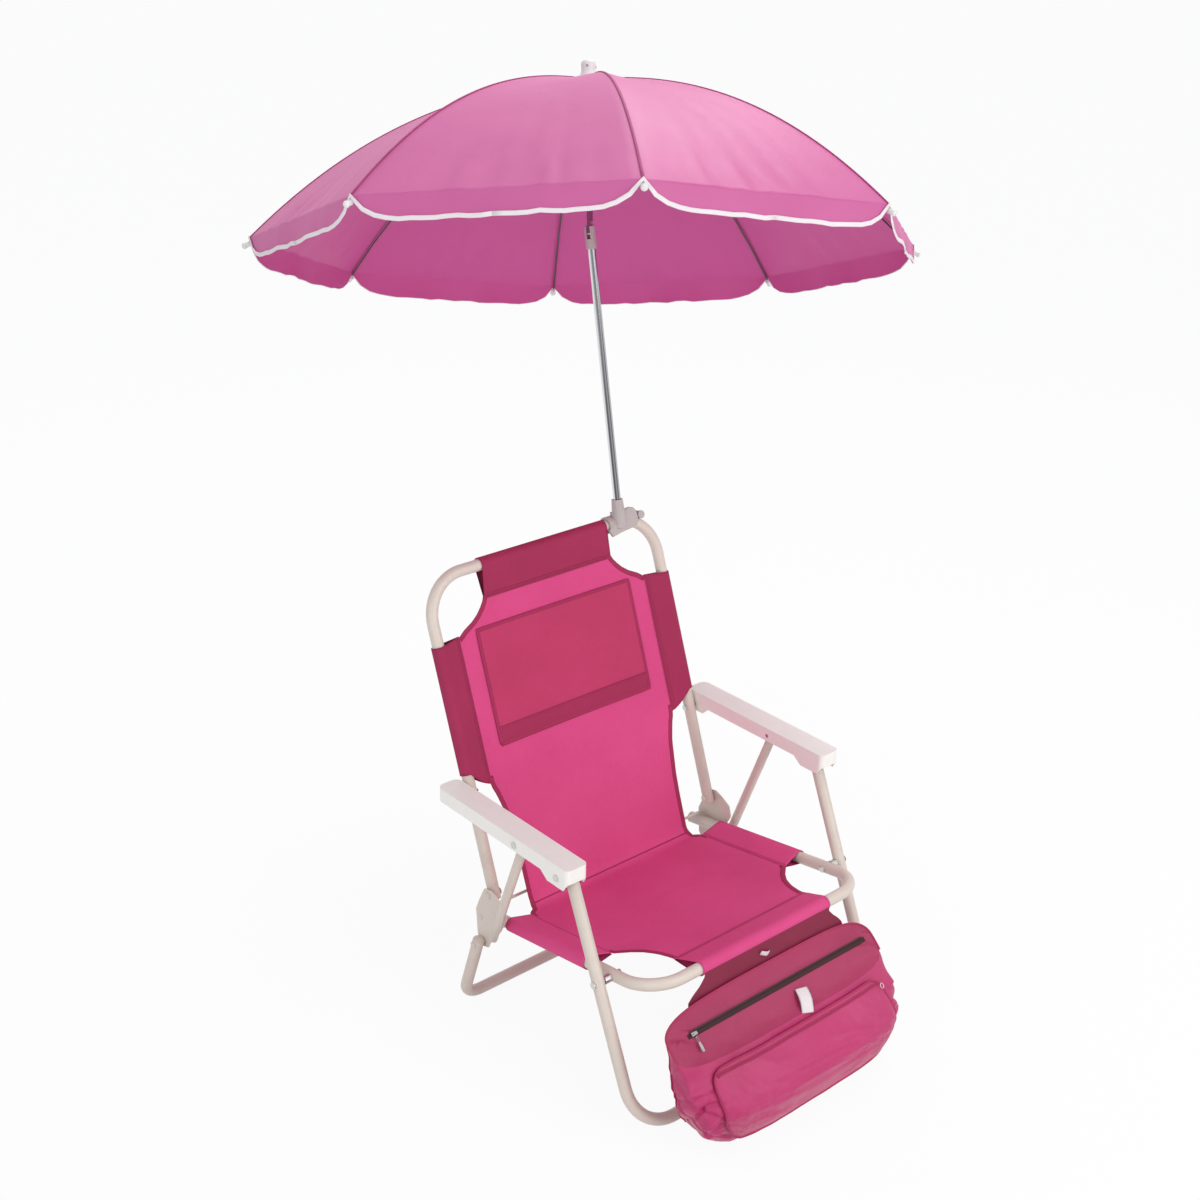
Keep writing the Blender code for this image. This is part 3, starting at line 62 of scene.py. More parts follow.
SEAT_REF_Z = 0.1826
SEAT_SLOPE = 0.1693
SEAT_REAR_Y = -0.022
SEAT_FRONT_Y = -0.4215
SEAT_BEND_R = 0.060
FRONT_LEG_X = 0.2620
FRONT_TOP = Vector((0.0, -0.2720, 0.3910))
FRONT_FLOOR = Vector((0.0, -0.4347, 0.0097))
FRONT_BEND_R = 0.075
REAR_LEG_X = 0.2584
REAR_TOP = Vector((0.0, -0.0420, 0.1390))
REAR_FLOOR = Vector((0.0, 0.0, 0.0097))
REAR_BEND_R = 0.036
LEG_OVER = 0.008
LINK_X = 0.2655
LINK_R = 0.0076
LINK_TOP = Vector((0.0, -0.1735, 0.3985))
LINK_LOW = Vector((0.0, -0.0905, 0.1753))
LINK_OVER = 0.006
POLE_BASE = Vector((0.1587, 0.1069, 0.7136))
POLE_LEAN = math.radians(10.55)
LOWER_POLE_LEN = 0.4810
CANOPY_DIR = Vector((0.2232, 0.2974, 0.9283)).normalized()
CANOPY_TURN = 0.2414
CANOPY_R = 0.5337
CANOPY_APEX_H = 0.2418
CANOPY_RIM_H = -0.0144
CANOPY_CONE = 0.2200
CANOPY_CURVE = 2.4000
CANOPY_HOLE_R = 0.0092
RIB_COUNT = 8

X_DIR = Vector((1.0, 0.0, 0.0))
Z_DIR = Vector((0.0, 0.0, 1.0))
SIDES = (("left", -1.0), ("right", 1.0))
BACK_DIR = Vector((0.0, math.sin(BACK_LEAN), math.cos(BACK_LEAN)))
BACK_NORMAL = Vector((0.0, -math.cos(BACK_LEAN), math.sin(BACK_LEAN)))
SEAT_NORMAL = Vector((0.0, SEAT_SLOPE, 1.0)).normalized()
TILT_POINT = POLE_BASE + Vector((0.0, math.sin(POLE_LEAN), math.cos(POLE_LEAN))) * LOWER_POLE_LEN
CANOPY_X = (X_DIR - CANOPY_DIR * CANOPY_DIR.x).normalized()
CANOPY_Y = CANOPY_DIR.cross(CANOPY_X)


def back_point(x, t, off=0.0):
    return Vector((x, 0.0, BACK_PIVOT_Z)) + BACK_DIR * t + BACK_NORMAL * off


def seat_point(x, y, off=0.0):
    return Vector((x, y, SEAT_REF_Z - (y - SEAT_REF_Y) * SEAT_SLOPE)) + SEAT_NORMAL * off


def at_x(point, x):
    return Vector((x, point.y, point.z))


def srgb(red, green, blue):
    out = []
    for value in (red, green, blue):
        value /= 255.0
        out.append(value / 12.92 if value <= 0.04045 else ((value + 0.055) / 1.055) ** 2.4)
    return (*out, 1.0)


def steps(low, high, count):
    """count + 1 even steps from low to high."""
    return [low + (high - low) * k / count for k in range(count + 1)]


def smooth(low, high, value):
    share = min(max((value - low) / (high - low), 0.0), 1.0)
    return share * share * (3.0 - 2.0 * share)


def arch(share):
    """A half wave that is 0 at both ends of 0..1 and past them."""
    return math.sin(math.pi * min(max(share, 0.0), 1.0))


def bell(distance, width):
    return math.exp(-(distance / width) ** 2)


def lerp_table(table, value):
    if value <= table[0][0]:
        return table[0][1]
    for (a, va), (b, vb) in zip(table, table[1:]):
        if value <= b:
            return va + (vb - va) * (value - a) / (b - a)
    return table[-1][1]


def lengths_along(points):
    """The length run so far at each point of a path."""
    runs = [0.0]
    for before, here in zip(points, points[1:]):
        runs.append(runs[-1] + (here - before).length)
    return runs


def waver(x, y, kind, shift=0.0):
    """Uneven waves of cloth. kind is (height, seed, waves per metre) and shift moves the seed."""
    height, seed, size = kind
    return height * noise.fractal(Vector((x * size, y * size, seed + shift)), 0.9, 2.1, 3)


# Node helpers
def link_or_set(tree, socket, value):
    if isinstance(value, bpy.types.NodeSocket):
        tree.links.new(value, socket)
    else:
        socket.default_value = value


def add_node(tree, kind, inputs=(), **settings):
    """inputs pairs a socket's name or number with a constant or with another node's output."""
    node = tree.nodes.new("ShaderNode" + kind)
    for key, value in settings.items():
        setattr(node, key, value)
    for key, value in dict(inputs).items():
        link_or_set(tree, node.inputs[key], value)
    return node


def math_node(tree, operation, *values):
    return add_node(tree, "Math", enumerate(values), operation=operation).outputs[0]


def object_coords(tree):
    return add_node(tree, "TexCoord").outputs["Object"]


def mapped(tree, coords, label, values):
    return add_node(tree, "Mapping", {"Vector": coords, label: values}).outputs[0]


def noise_node(tree, coords, scale, detail, rough=0.5):
    inputs = {"Vector": coords, "Scale": scale, "Detail": detail, "Roughness": rough}
    return add_node(tree, "TexNoise", inputs).outputs["Fac"]


def remap(tree, value, low, high, to_low, to_high):
    inputs = {"Value": value, "From Min": low, "From Max": high, "To Min": to_low, "To Max": to_high}
    return add_node(tree, "MapRange", inputs).outputs["Result"]


def colour_mix(tree, factor, first, second):
    node = add_node(tree, "Mix", {0: factor}, data_type="RGBA")
    colours = [socket for socket in node.inputs if socket.type == "RGBA"]
    for socket, value in zip(colours, (first, second)):
        link_or_set(tree, socket, value)
    return [socket for socket in node.outputs if socket.type == "RGBA"][0]


# Stage: camera, world, lights and floor
CAMERA_PLACE = Vector((-1.6936889, -1.9529758, 1.8284316))
CAMERA_AZIMUTH = math.radians(-41.34491)
CAMERA_LIFT = math.radians(24.39021)
CAMERA_ROLL = math.radians(1.18618)
CAMERA_LENS = 53.5242
WHITE = (1.0, 1.0, 1.0, 1.0)
WORLD_COLOUR = (0.93, 0.96, 1.0, 1.0)
WORLD_LIGHT = 0.62
FLOOR_COLOUR = (0.86, 0.86, 0.86, 1.0)
FLOOR_WHITE_SHARE = 0.93
FLOOR_REACH = 60.0
FLOOR_Z = -0.0008
LIGHT_TARGET = Vector((0.05, -0.1, 0.6))
# Each studio light: name, place, size, power, colour
LIGHTS = [("key", (1.5, 0.9, 3.0), 1.0, 22.0, (1.0, 0.985, 0.96)),
          ("front", (0.6, -3.0, 2.2), 2.4, 44.0, (1.0, 0.99, 0.98)),
          ("fill", (-2.8, -1.4, 1.5), 2.2, 22.0, (0.97, 0.98, 1.0)),
          ("top", (0.3, 0.5, 3.6), 2.4, 12.0, (1.0, 1.0, 1.0))]


def build_camera():
    level = math.cos(CAMERA_LIFT)
    toward = Vector((math.sin(CAMERA_AZIMUTH) * level, -math.cos(CAMERA_AZIMUTH) * level,
                     math.sin(CAMERA_LIFT)))
    right = Z_DIR.cross(toward).normalized()
    up = toward.cross(right)
    side = right * math.cos(CAMERA_ROLL) + up * math.sin(CAMERA_ROLL)
    top = up * math.cos(CAMERA_ROLL) - right * math.sin(CAMERA_ROLL)
    matrix = Matrix((side, top, toward)).transposed().to_4x4()
    matrix.translation = CAMERA_PLACE
    data = bpy.data.cameras.new("camera")
    data.lens = CAMERA_LENS
    data.sensor_width = 36.0
    data.clip_start = 0.05
    data.clip_end = 60.0
    camera = bpy.data.objects.new("camera", data)
    camera.matrix_world = matrix
    bpy.context.collection.objects.link(camera)
    bpy.context.scene.camera = camera


def seen_directly(tree):
    """1 for camera, glossy and transmission rays."""
    rays = add_node(tree, "LightPath").outputs
    direct = math_node(tree, "MAXIMUM", rays["Is Camera Ray"], rays["Is Glossy Ray"])
    return math_node(tree, "MAXIMUM", direct, rays["Is Transmission Ray"])


def build_world():
    world = bpy.data.worlds.new("studio")
    bpy.context.scene.world = world
    world.use_nodes = True
    tree = world.node_tree
    tree.nodes.clear()
    soft = add_node(tree, "Background", {"Color": WORLD_COLOUR, "Strength": WORLD_LIGHT})
    white = add_node(tree, "Background", {"Color": WHITE, "Strength": 1.0})
    mix = add_node(tree, "MixShader", {0: seen_directly(tree), 1: soft.outputs[0], 2: white.outputs[0]})
    add_node(tree, "OutputWorld", {"Surface": mix.outputs[0]})


def build_lights():
    for name, place, size, power, colour in LIGHTS:
        data = bpy.data.lights.new(name, "AREA")
        data.shape = "DISK"
        data.size = size
        data.energy = power
        data.color = colour
        light = bpy.data.objects.new(name, data)
        light.location = place
        light.rotation_mode = "QUATERNION"
        light.rotation_quaternion = (LIGHT_TARGET - Vector(place)).to_track_quat("-Z", "Y")
        bpy.context.collection.objects.link(light)


def build_floor():
    mesh = bpy.data.meshes.new("floor")
    corners = [(x * FLOOR_REACH, y * FLOOR_REACH, FLOOR_Z) for x, y in ((-1, -1), (1, -1), (1, 1), (-1, 1))]
    mesh.from_pydata(corners, [], [(0, 1, 2, 3)])
    floor = bpy.data.objects.new("floor", mesh)
    bpy.context.collection.objects.link(floor)
    mat = bpy.data.materials.new("floor_paper")
    mat.use_nodes = True
    tree = mat.node_tree
    tree.nodes.clear()
    paper = add_node(tree, "BsdfDiffuse", {"Color": FLOOR_COLOUR})
    glow = add_node(tree, "Emission", {"Color": WHITE, "Strength": 1.0})
    share = math_node(tree, "MULTIPLY", seen_directly(tree), FLOOR_WHITE_SHARE)
    mix = add_node(tree, "MixShader", {0: share, 1: paper.outputs[0], 2: glow.outputs[0]})
    add_node(tree, "OutputMaterial", {"Surface": mix.outputs[0]})
    mesh.materials.append(mat)


# Shader groups shared by several materials
LONG_SLUBS = (60.0, 900.0, 60.0)
CROSS_SLUBS = (900.0, 60.0, 60.0)


def new_group(name, ins, outs):
    group = bpy.data.node_groups.new(name, "ShaderNodeTree")
    for label, kind, value in ins:
        socket = group.interface.new_socket(name=label, in_out="INPUT", socket_type=kind)
        if value is not None:
            socket.default_value = value
    for label in outs:
        group.interface.new_socket(name=label, in_out="OUTPUT", socket_type="NodeSocketFloat")
    return group, group.nodes.new("NodeGroupInput").outputs, group.nodes.new("NodeGroupOutput").inputs


def build_weave_group():
    """Crossed threads with slubs: Height for bump, Shade for colour."""
    group, enter, leave = new_group("plain_weave", [
        ("Vector", "NodeSocketVector", None), ("Threads", "NodeSocketFloat", 1600.0),
        ("Slub", "NodeSocketFloat", 0.5)], ("Height", "Shade"))
    split = add_node(group, "SeparateXYZ", {0: enter["Vector"]})
    across = math_node(group, "MULTIPLY", split.outputs[0], enter["Threads"])
    along = math_node(group, "MULTIPLY", split.outputs[1], enter["Threads"])
    over = math_node(group, "MULTIPLY", math_node(group, "SINE", across), math_node(group, "SINE", along))
    threads = math_node(group, "ABSOLUTE", over)
    streaks = [noise_node(group, mapped(group, enter["Vector"], "Scale", scale), 1.0, 2.0)
               for scale in (LONG_SLUBS, CROSS_SLUBS)]
    slubs = math_node(group, "MULTIPLY", math_node(group, "ADD", *streaks), enter["Slub"])
    group.links.new(math_node(group, "ADD", threads, slubs), leave["Height"])
    group.links.new(remap(group, slubs, 0.2, 0.8, 0.0, 1.0), leave["Shade"])
    return group


def build_wear_group():
    """Worn edges as Mask and fine grain as Grain."""
    group, enter, leave = new_group("paint_wear", [
        ("Vector", "NodeSocketVector", None), ("Amount", "NodeSocketFloat", 0.5)], ("Mask", "Grain"))
    pointed = add_node(group, "NewGeometry").outputs["Pointiness"]
    edge = remap(group, pointed, 0.52, 0.62, 0.0, 1.0)
    patch = remap(group, noise_node(group, enter["Vector"], 34.0, 6.0, 0.65), 0.50, 0.72, 0.0, 1.0)
    mask = math_node(group, "MULTIPLY", math_node(group, "MULTIPLY", edge, patch), enter["Amount"])
    group.links.new(mask, leave["Mask"])
    group.links.new(noise_node(group, enter["Vector"], 420.0, 3.0), leave["Grain"])
    return group


WEAVE = build_weave_group()
WEAR = build_wear_group()


# Material makers
def base_material(name):
    mat = bpy.data.materials.new(name)
    mat.use_nodes = True
    return mat, mat.node_tree, mat.node_tree.nodes["Principled BSDF"].inputs


def use_group(tree, group, values):
    node = tree.nodes.new("ShaderNodeGroup")
    node.node_tree = group
    for label, value in values.items():
        link_or_set(tree, node.inputs[label], value)
    return node.outputs


def add_bump(tree, shader, height, distance, strength):
    bump = add_node(tree, "Bump", {"Distance": distance, "Strength": strength, "Height": height})
    tree.links.new(bump.outputs[0], shader["Normal"])


def darker(colour, share):
    return tuple(value * share for value in colour[:3]) + (1.0,)


def patchy_colour(tree, shader, coords, scale, detail, band, colour, dark_share):
    """Two close tones of one colour in broad soft patches; gives the patches' noise."""
    broad = noise_node(tree, coords, scale, detail)
    low, high, most = band
    tone = colour_mix(tree, remap(tree, broad, low, high, 0.0, most), colour, darker(colour, dark_share))
    tree.links.new(tone, shader["Base Color"])
    return broad, tone


def cloth_material(name, light, dark, threads, slub, rough, sheen, bump=0.00012, inside=None):
    mat, tree, shader = base_material(name)
    coords = add_node(tree, "UVMap", uv_map="cloth").outputs[0]
    weave = use_group(tree, WEAVE, {"Vector": coords, "Threads": threads, "Slub": slub})
    broad = remap(tree, noise_node(tree, object_coords(tree), 7.0, 4.0), 0.3, 0.7, 0.0, 0.45)
    shade = math_node(tree, "ADD", math_node(tree, "MULTIPLY", weave["Shade"], 0.55), broad)
    colour = colour_mix(tree, shade, dark, light)
    # Back faces take the inside colour; on the canopy this is painted light coming through the cloth
    if inside:
        facing = add_node(tree, "NewGeometry").outputs["Backfacing"]
        colour = colour_mix(tree, facing, colour, inside)
    tree.links.new(colour, shader["Base Color"])
    tree.links.new(remap(tree, weave["Height"], 0.0, 1.6, rough - 0.06, rough + 0.08), shader["Roughness"])
    shader["Specular IOR Level"].default_value = 0.35
    shader["Sheen Weight"].default_value = sheen
    shader["Sheen Roughness"].default_value = 0.45
    shader["Sheen Tint"].default_value = light
    add_bump(tree, shader, weave["Height"], bump, 0.6)
    return mat


def painted_material(name, colour, worn, rough, wear):
    mat, tree, shader = base_material(name)
    coords = object_coords(tree)
    marks = use_group(tree, WEAR, {"Vector": coords, "Amount": wear})
    broad, tone = patchy_colour(tree, shader, coords, 9.0, 4.0, (0.3, 0.7, 0.35), colour, 0.90)
    tree.links.new(colour_mix(tree, marks["Mask"], tone, worn), shader["Base Color"])
    tree.links.new(remap(tree, broad, 0.2, 0.8, rough - 0.05, rough + 0.08), shader["Roughness"])
    shader["Specular IOR Level"].default_value = 0.45
    add_bump(tree, shader, marks["Grain"], 0.00010, 0.25)
    return mat


def brushed(tree, shader, rough, spread):
    """Fine grain and full metal, for a material that has its colour."""
    grain = noise_node(tree, object_coords(tree), 260.0, 4.0)
    tree.links.new(remap(tree, grain, 0.2, 0.8, rough - spread, rough + spread), shader["Roughness"])
    shader["Metallic"].default_value = 1.0
    add_bump(tree, shader, grain, 0.00004, 0.2)


def metal_material(name, colour, rough, spread):
    mat, tree, shader = base_material(name)
    patchy_colour(tree, shader, object_coords(tree), 22.0, 3.0, (0.35, 0.65, 0.5), colour, 0.82)
    brushed(tree, shader, rough, spread)
    return mat


def reflection_striped_metal(name, bright, dark, rough, spread):
    """Plated tube with long light and dark stripes up and down it: painted reflection of the surroundings."""
    mat, tree, shader = base_material(name)
    upright = mapped(tree, object_coords(tree), "Rotation", (POLE_LEAN, 0.0, 0.0))
    streak = noise_node(tree, mapped(tree, upright, "Scale", (1.0, 1.0, 0.0)), 110.0, 2.0)
    tone = colour_mix(tree, remap(tree, streak, 0.42, 0.58, 0.0, 1.0), bright, dark)
    tree.links.new(tone, shader["Base Color"])
    brushed(tree, shader, rough, spread)
    return mat


def plastic_material(name, colour, rough):
    mat, tree, shader = base_material(name)
    coords = object_coords(tree)
    patchy_colour(tree, shader, coords, 30.0, 4.0, (0.35, 0.65, 0.4), colour, 0.88)
    grain = noise_node(tree, coords, 700.0, 2.0)
    tree.links.new(remap(tree, grain, 0.2, 0.8, rough - 0.06, rough + 0.06), shader["Roughness"])
    add_bump(tree, shader, grain, 0.00008, 0.3)
    return mat


# Hard materials: colour, roughness, spread of the roughness or wear
FRAME_PAINT = painted_material("frame_paint_beige", srgb(219, 206, 194), srgb(168, 160, 152), 0.34, 0.5)
ARM_PAINT = painted_material("arm_paint_beige", srgb(247, 243, 236), srgb(224, 218, 210), 0.38, 0.2)
RIVET_STEEL = metal_material("rivet_steel", (0.66, 0.65, 0.64, 1.0), 0.30, 0.08)
ZIP_STEEL = metal_material("zip_steel", (0.30, 0.28, 0.28, 1.0), 0.28, 0.08)
RIB_STEEL = metal_material("rib_wire_steel", (0.15, 0.13, 0.14, 1.0), 0.36, 0.08)
# Painted reflection: the lower pole's bright and near-black stripes stand in for reflected surroundings
CHROME = reflection_striped_metal("pole_chrome", (0.74, 0.74, 0.75, 1.0), (0.10, 0.10, 0.11, 1.0), 0.13, 0.04)
UPPER_CHROME = metal_material("upper_pole_chrome", (0.46, 0.46, 0.47, 1.0), 0.16, 0.05)
CLAMP_PLASTIC = plastic_material("clamp_plastic", srgb(188, 178, 175), 0.42)
CAP_PLASTIC = plastic_material("cap_plastic", srgb(231, 230, 228), 0.38)
ZIP_TOOTH = plastic_material("zip_teeth_plastic", srgb(62, 38, 40), 0.45)

# How close the threads of each kind of weave lie
FINE = 5200.0
COARSE = 3600.0
TAPE = 4200.0
# Cloths: light and dark thread, threads, slubs, roughness, sheen
SLING_CLOTH = cloth_material("sling_polyester", srgb(228, 82, 143), srgb(208, 62, 120), FINE, 0.5, 0.74, 0.18)
SLEEVE_CLOTH = cloth_material("sleeve_polyester", srgb(174, 46, 92), srgb(152, 36, 76), FINE, 0.5, 0.74, 0.18)
PANEL_CLOTH = cloth_material("headrest_mesh", srgb(198, 60, 106), srgb(174, 48, 86), COARSE, 0.7, 0.78, 0.15)
THREAD = cloth_material("sewing_thread", srgb(150, 36, 76), srgb(132, 30, 66), TAPE, 0.5, 0.7, 0.1)
# The canopy's inside colour is painted light: its back faces are lit up to stand in for light shining through
# the cloth
CANOPY_CLOTH = cloth_material("canopy_taffeta", srgb(208, 104, 160), srgb(196, 92, 148), 7000.0, 0.35, 0.46,
                              0.25, bump=0.00006, inside=srgb(210, 90, 158))
CANOPY_SEAM = cloth_material("canopy_seam_thread", srgb(176, 70, 124), srgb(158, 58, 108), TAPE, 0.5, 0.6,
                             0.1)
BINDING = cloth_material("white_binding", srgb(244, 236, 238), srgb(226, 214, 218), TAPE, 0.5, 0.7, 0.1)
BAG_CLOTH = cloth_material("bag_polyester", srgb(198, 54, 114), srgb(176, 42, 94), FINE, 0.5, 0.30, 0.10,
                           inside=srgb(168, 50, 94))
# Painted shade: a darker copy of the bag's polyester for the top panels, standing in for the seat's shadow
# over the bag's top
BAG_TOP_SHADED_CLOTH = cloth_material("bag_top_polyester_painted_shade", srgb(178, 52, 98), srgb(158, 42, 82), FINE, 0.5, 0.42,
                               0.12)
# Painted shade: the back panel is the pink polyester darkened to stand in for the shade under the seat's
# front sleeve
FLAP_SHADED_CLOTH = cloth_material("flap_polyester_painted_shade", srgb(138, 34, 66), srgb(120, 28, 56), FINE, 0.5, 0.6, 0.06)
BAG_INSIDE = cloth_material("bag_lining", srgb(156, 44, 82), srgb(136, 36, 70), FINE, 0.5, 0.75, 0.1)
PIPING = cloth_material("bag_piping", srgb(182, 50, 96), srgb(158, 40, 80), TAPE, 0.6, 0.6, 0.1)
ZIP_CLOTH = cloth_material("zip_tape_brown", srgb(70, 42, 44), srgb(48, 28, 30), 3200.0, 0.8, 0.8, 0.05)
TAG_CLOTH = cloth_material("blank_tag", srgb(240, 232, 232), srgb(222, 212, 214), TAPE, 0.5, 0.75, 0.1)


# Mesh tools
LATHE_LEAST_R = 0.00005


def make_mesh(name, verts, faces, mats, uvs=None, face_mats=None, soft=True):
    """Without uvs, each face is laid flat along its largest direction."""
    mesh = bpy.data.meshes.new(name)
    mesh.from_pydata([tuple(v) for v in verts], [], faces)
    layer = mesh.uv_layers.new(name="cloth")
    for poly in mesh.polygons:
        poly.use_smooth = soft
        drop = max(range(3), key=lambda k: abs(poly.normal[k]))
        first, second = [k for k in range(3) if k != drop]
        for index in poly.loop_indices:
            vertex = mesh.loops[index].vertex_index
            place = mesh.vertices[vertex].co
            layer.data[index].uv = uvs[vertex] if uvs else (place[first], place[second])
    for mat in mats:
        mesh.materials.append(mat)
    for number, kind in enumerate(face_mats or ()):
        mesh.polygons[number].material_index = kind
    obj = bpy.data.objects.new(name, mesh)
    bpy.context.collection.objects.link(obj)
    return obj


def rounded(points, radius, count):
    """A path through points whose inner corners are arcs of count steps."""
    path = [points[0]]
    for before, corner, after in zip(points, points[1:], points[2:]):
        inward = (before - corner).normalized()
        outward = (after - corner).normalized()
        half = inward.angle(outward) / 2.0
        reach = radius / math.tan(half)
        centre = corner + (inward + outward).normalized() * (radius / math.sin(half))
        start = corner + inward * reach - centre
        end = corner + outward * reach - centre
        path += [centre + start.slerp(end, share).normalized() * radius for share in steps(0.0, 1.0, count)]
    return path + [points[-1]]


def tube_faces(rings, sides):
    """Faces of a tube made of rings of points and closed at both ends."""
    faces = []
    for ring in range(rings - 1):
        for k in range(sides):
            a = ring * sides + k
            b = ring * sides + (k + 1) % sides
            faces.append((a, b, b + sides, a + sides))
    faces.append(tuple(range(sides))[::-1])
    faces.append(tuple(range((rings - 1) * sides, rings * sides)))
    return faces


def oval(half_width, half_height, sides):
    turns = [2.0 * math.pi * k / sides for k in range(sides)]
    return [(half_width * math.cos(turn), half_height * math.sin(turn)) for turn in turns]


def sweep(name, path, sections, normals, girth, mat):
    """A closed form that runs along a path, with a section of (side, up) places at each point."""
    sides = len(sections[0])
    verts = []
    uvs = []
    for index, run in enumerate(lengths_along(path)):
        tangent = (path[min(index + 1, len(path) - 1)] - path[max(index - 1, 0)]).normalized()
        side = normals[index].cross(tangent).normalized()
        up = tangent.cross(side)
        for k, (across, rise) in enumerate(sections[index]):
            verts.append(path[index] + side * across + up * rise)
            uvs.append((girth * k / sides, run))
    return make_mesh(name, verts, tube_faces(len(path), sides), [mat], uvs)


def cord_along(name, path, normals, size, mat, sides=10):
    """A flat rolled hem or piping that follows an edge. size is (width, thickness)."""
    width, thick = size
    section = oval(width / 2.0, thick / 2.0, sides)
    return sweep(name, path, [section] * len(path), normals, width, mat)


def lathe_mesh(name, start, axis, profile, mat, sides):
    """profile lists (height, radius) along the axis from start."""
    axis = axis.normalized()
    first = axis.orthogonal().normalized()
    second = axis.cross(first)
    verts = []
    for height, radius in profile:
        radius = max(radius, LATHE_LEAST_R)
        for across, rise in oval(radius, radius, sides):
            verts.append(start + axis * height + first * across + second * rise)
    return make_mesh(name, verts, tube_faces(len(profile), sides), [mat])


def grid_sheet(name, rows, uv_rows, mats, pick=None):
    """A sheet over rows of points. pick(row) gives a row's material."""
    columns = len(rows[0])
    faces = []
    face_mats = []
    for j in range(len(rows) - 1):
        for i in range(columns - 1):
            a = j * columns + i
            faces.append((a, a + 1, a + columns + 1, a + columns))
            face_mats.append(pick(j) if pick else 0)
    return make_mesh(name, sum(rows, []), faces, mats, sum(uv_rows, []), face_mats)


def border(rows):
    """The points round the edge of a sheet."""
    return rows[0] + [row[-1] for row in rows[1:]] + rows[-1][-2::-1] + [row[0] for row in rows[-2::-1]]


# Frame tubes, rounder than the frame's facets
TUBE_SIDES = 24
TUBE_END_SHARE = 0.86
TUBE_END_LENGTH = 0.12
BEND_STEPS = 14


def round_tube(name, path, radius, normal):
    """A painted tube with slightly rounded ends."""
    first_end = path[0] + (path[1] - path[0]).normalized() * radius * TUBE_END_LENGTH
    last_end = path[-1] + (path[-2] - path[-1]).normalized() * radius * TUBE_END_LENGTH
    full = [path[0], first_end, *path[1:-1], last_end, path[-1]]
    radii = [radius * TUBE_END_SHARE] + [radius] * len(path) + [radius * TUBE_END_SHARE]
    sections = [oval(size, size, TUBE_SIDES) for size in radii]
    tube = sweep(name, full, sections, [normal] * len(full), 2.0 * math.pi * radius, FRAME_PAINT)
    tube.data.set_sharp_from_angle(angle=math.radians(50.0))
    return tube


def build_tubes():
    corners = [back_point(-BACK_X, BACK_LOW_T), back_point(-BACK_X, BACK_TOP_T),
               back_point(BACK_X, BACK_TOP_T), back_point(BACK_X, BACK_LOW_T)]
    back_path = rounded(corners, BACK_BEND_R, BEND_STEPS)
    corners = [seat_point(-SEAT_X, SEAT_REAR_Y), seat_point(-SEAT_X, SEAT_FRONT_Y),
               seat_point(SEAT_X, SEAT_FRONT_Y), seat_point(SEAT_X, SEAT_REAR_Y)]
    seat_path = rounded(corners, SEAT_BEND_R, BEND_STEPS)
    made = [("back_tube", back_path, TUBE_R, BACK_NORMAL, "back", "back_frame"),
            ("seat_tube", seat_path, TUBE_R, SEAT_NORMAL, "seat", "seat_frame")]
    for body, top, floor, half, bend in (
            ("front_leg", FRONT_TOP, FRONT_FLOOR, FRONT_LEG_X, FRONT_BEND_R),
            ("rear_leg", REAR_TOP, REAR_FLOOR, REAR_LEG_X, REAR_BEND_R)):
        along = (top - floor).normalized()
        high = top + along * LEG_OVER
        corners = [at_x(high, -half), at_x(floor, -half), at_x(floor, half), at_x(high, half)]
        path = rounded(corners, bend, BEND_STEPS)
        made.append((body + "_tube", path, TUBE_R, X_DIR.cross(along), body, body))
    end = LINK_TOP + (LINK_TOP - LINK_LOW).normalized() * LINK_OVER
    for label, sign in SIDES:
        path = [at_x(point, sign * LINK_X) for point in (LINK_LOW, (LINK_LOW + LINK_TOP) / 2.0, end)]
        made.append(("link_tube_" + label, path, LINK_R, X_DIR, "link_" + label, "link_" + label))
    for name, path, radius, normal, body, node in made:
        obj = round_tube(name, path, radius, normal)
        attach(obj, body)
        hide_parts(node)


# Sling: one cloth from the top bar over the back, the crease and the seat to the front bar
SIDE_SEAM_X = 0.1950
SEAT_SEAM_X = 0.1890
TOP_SEAM_T = 0.2900
FRONT_SEAM_Y = -0.3720
# Half widths of the cloth down the back and along the seat
BACK_HALF = [(-0.1950, 0.1735), (-0.1400, 0.1740), (-0.1020, 0.1755), (-0.0450, 0.1820), (-0.0150, 0.1900),
             (0.0000, 0.1960), (0.0100, SIDE_SEAM_X + 0.0020), (0.2440, SIDE_SEAM_X + 0.0020),
             (0.2480, 0.1850), (0.2560, 0.1680), (0.2700, 0.1490), (0.2850, 0.1370), (0.2960, 0.1320)]
SEAT_HALF = [(-0.3760, 0.1390), (-0.3600, 0.1410), (-0.3400, 0.1460), (-0.3200, 0.1560), (-0.3020, 0.1710),
             (-0.2900, 0.1860), (-0.2840, SEAT_SEAM_X + 0.0020), (-0.0960, SEAT_SEAM_X + 0.0020),
             (-0.0860, 0.1840), (-0.0760, 0.1760)]
SLING_TOP_T = 0.2950
SLING_LOW_T = -0.1900
SLING_REAR_Y = -0.0900
SLING_END_Y = -0.3755
BACK_BELLY = 0.0055
BACK_BELLY_SPAN = 0.50
SEAT_BELLY = 0.0065
SEAT_BELLY_Y = -0.385
SEAT_BELLY_SPAN = 0.30
CREASE = Vector((0.0, -0.0715, 0.1872))
CREASE_HALF = 0.1735
CREASE_BELLY = 0.0008
SLING_COLUMNS = 44
SLING_LIFT = 0.0003
SLING_WAVES = (0.0007, 3.1, 11.0)
SLING_WRINKLES = (0.0005, 8.4, 34.0)
HEM_ROWS = (("waist", 30, 61), ("upper", 0, 7), ("front", 82, 95))
HEM_INSET = 0.0030
SLING_HEM = (0.0085, 0.0018)
CREASE_SEAM = (0.0022, 0.0010)


def back_belly(t):
    return BACK_BELLY * arch((SLING_TOP_T - t) / BACK_BELLY_SPAN) ** 0.8


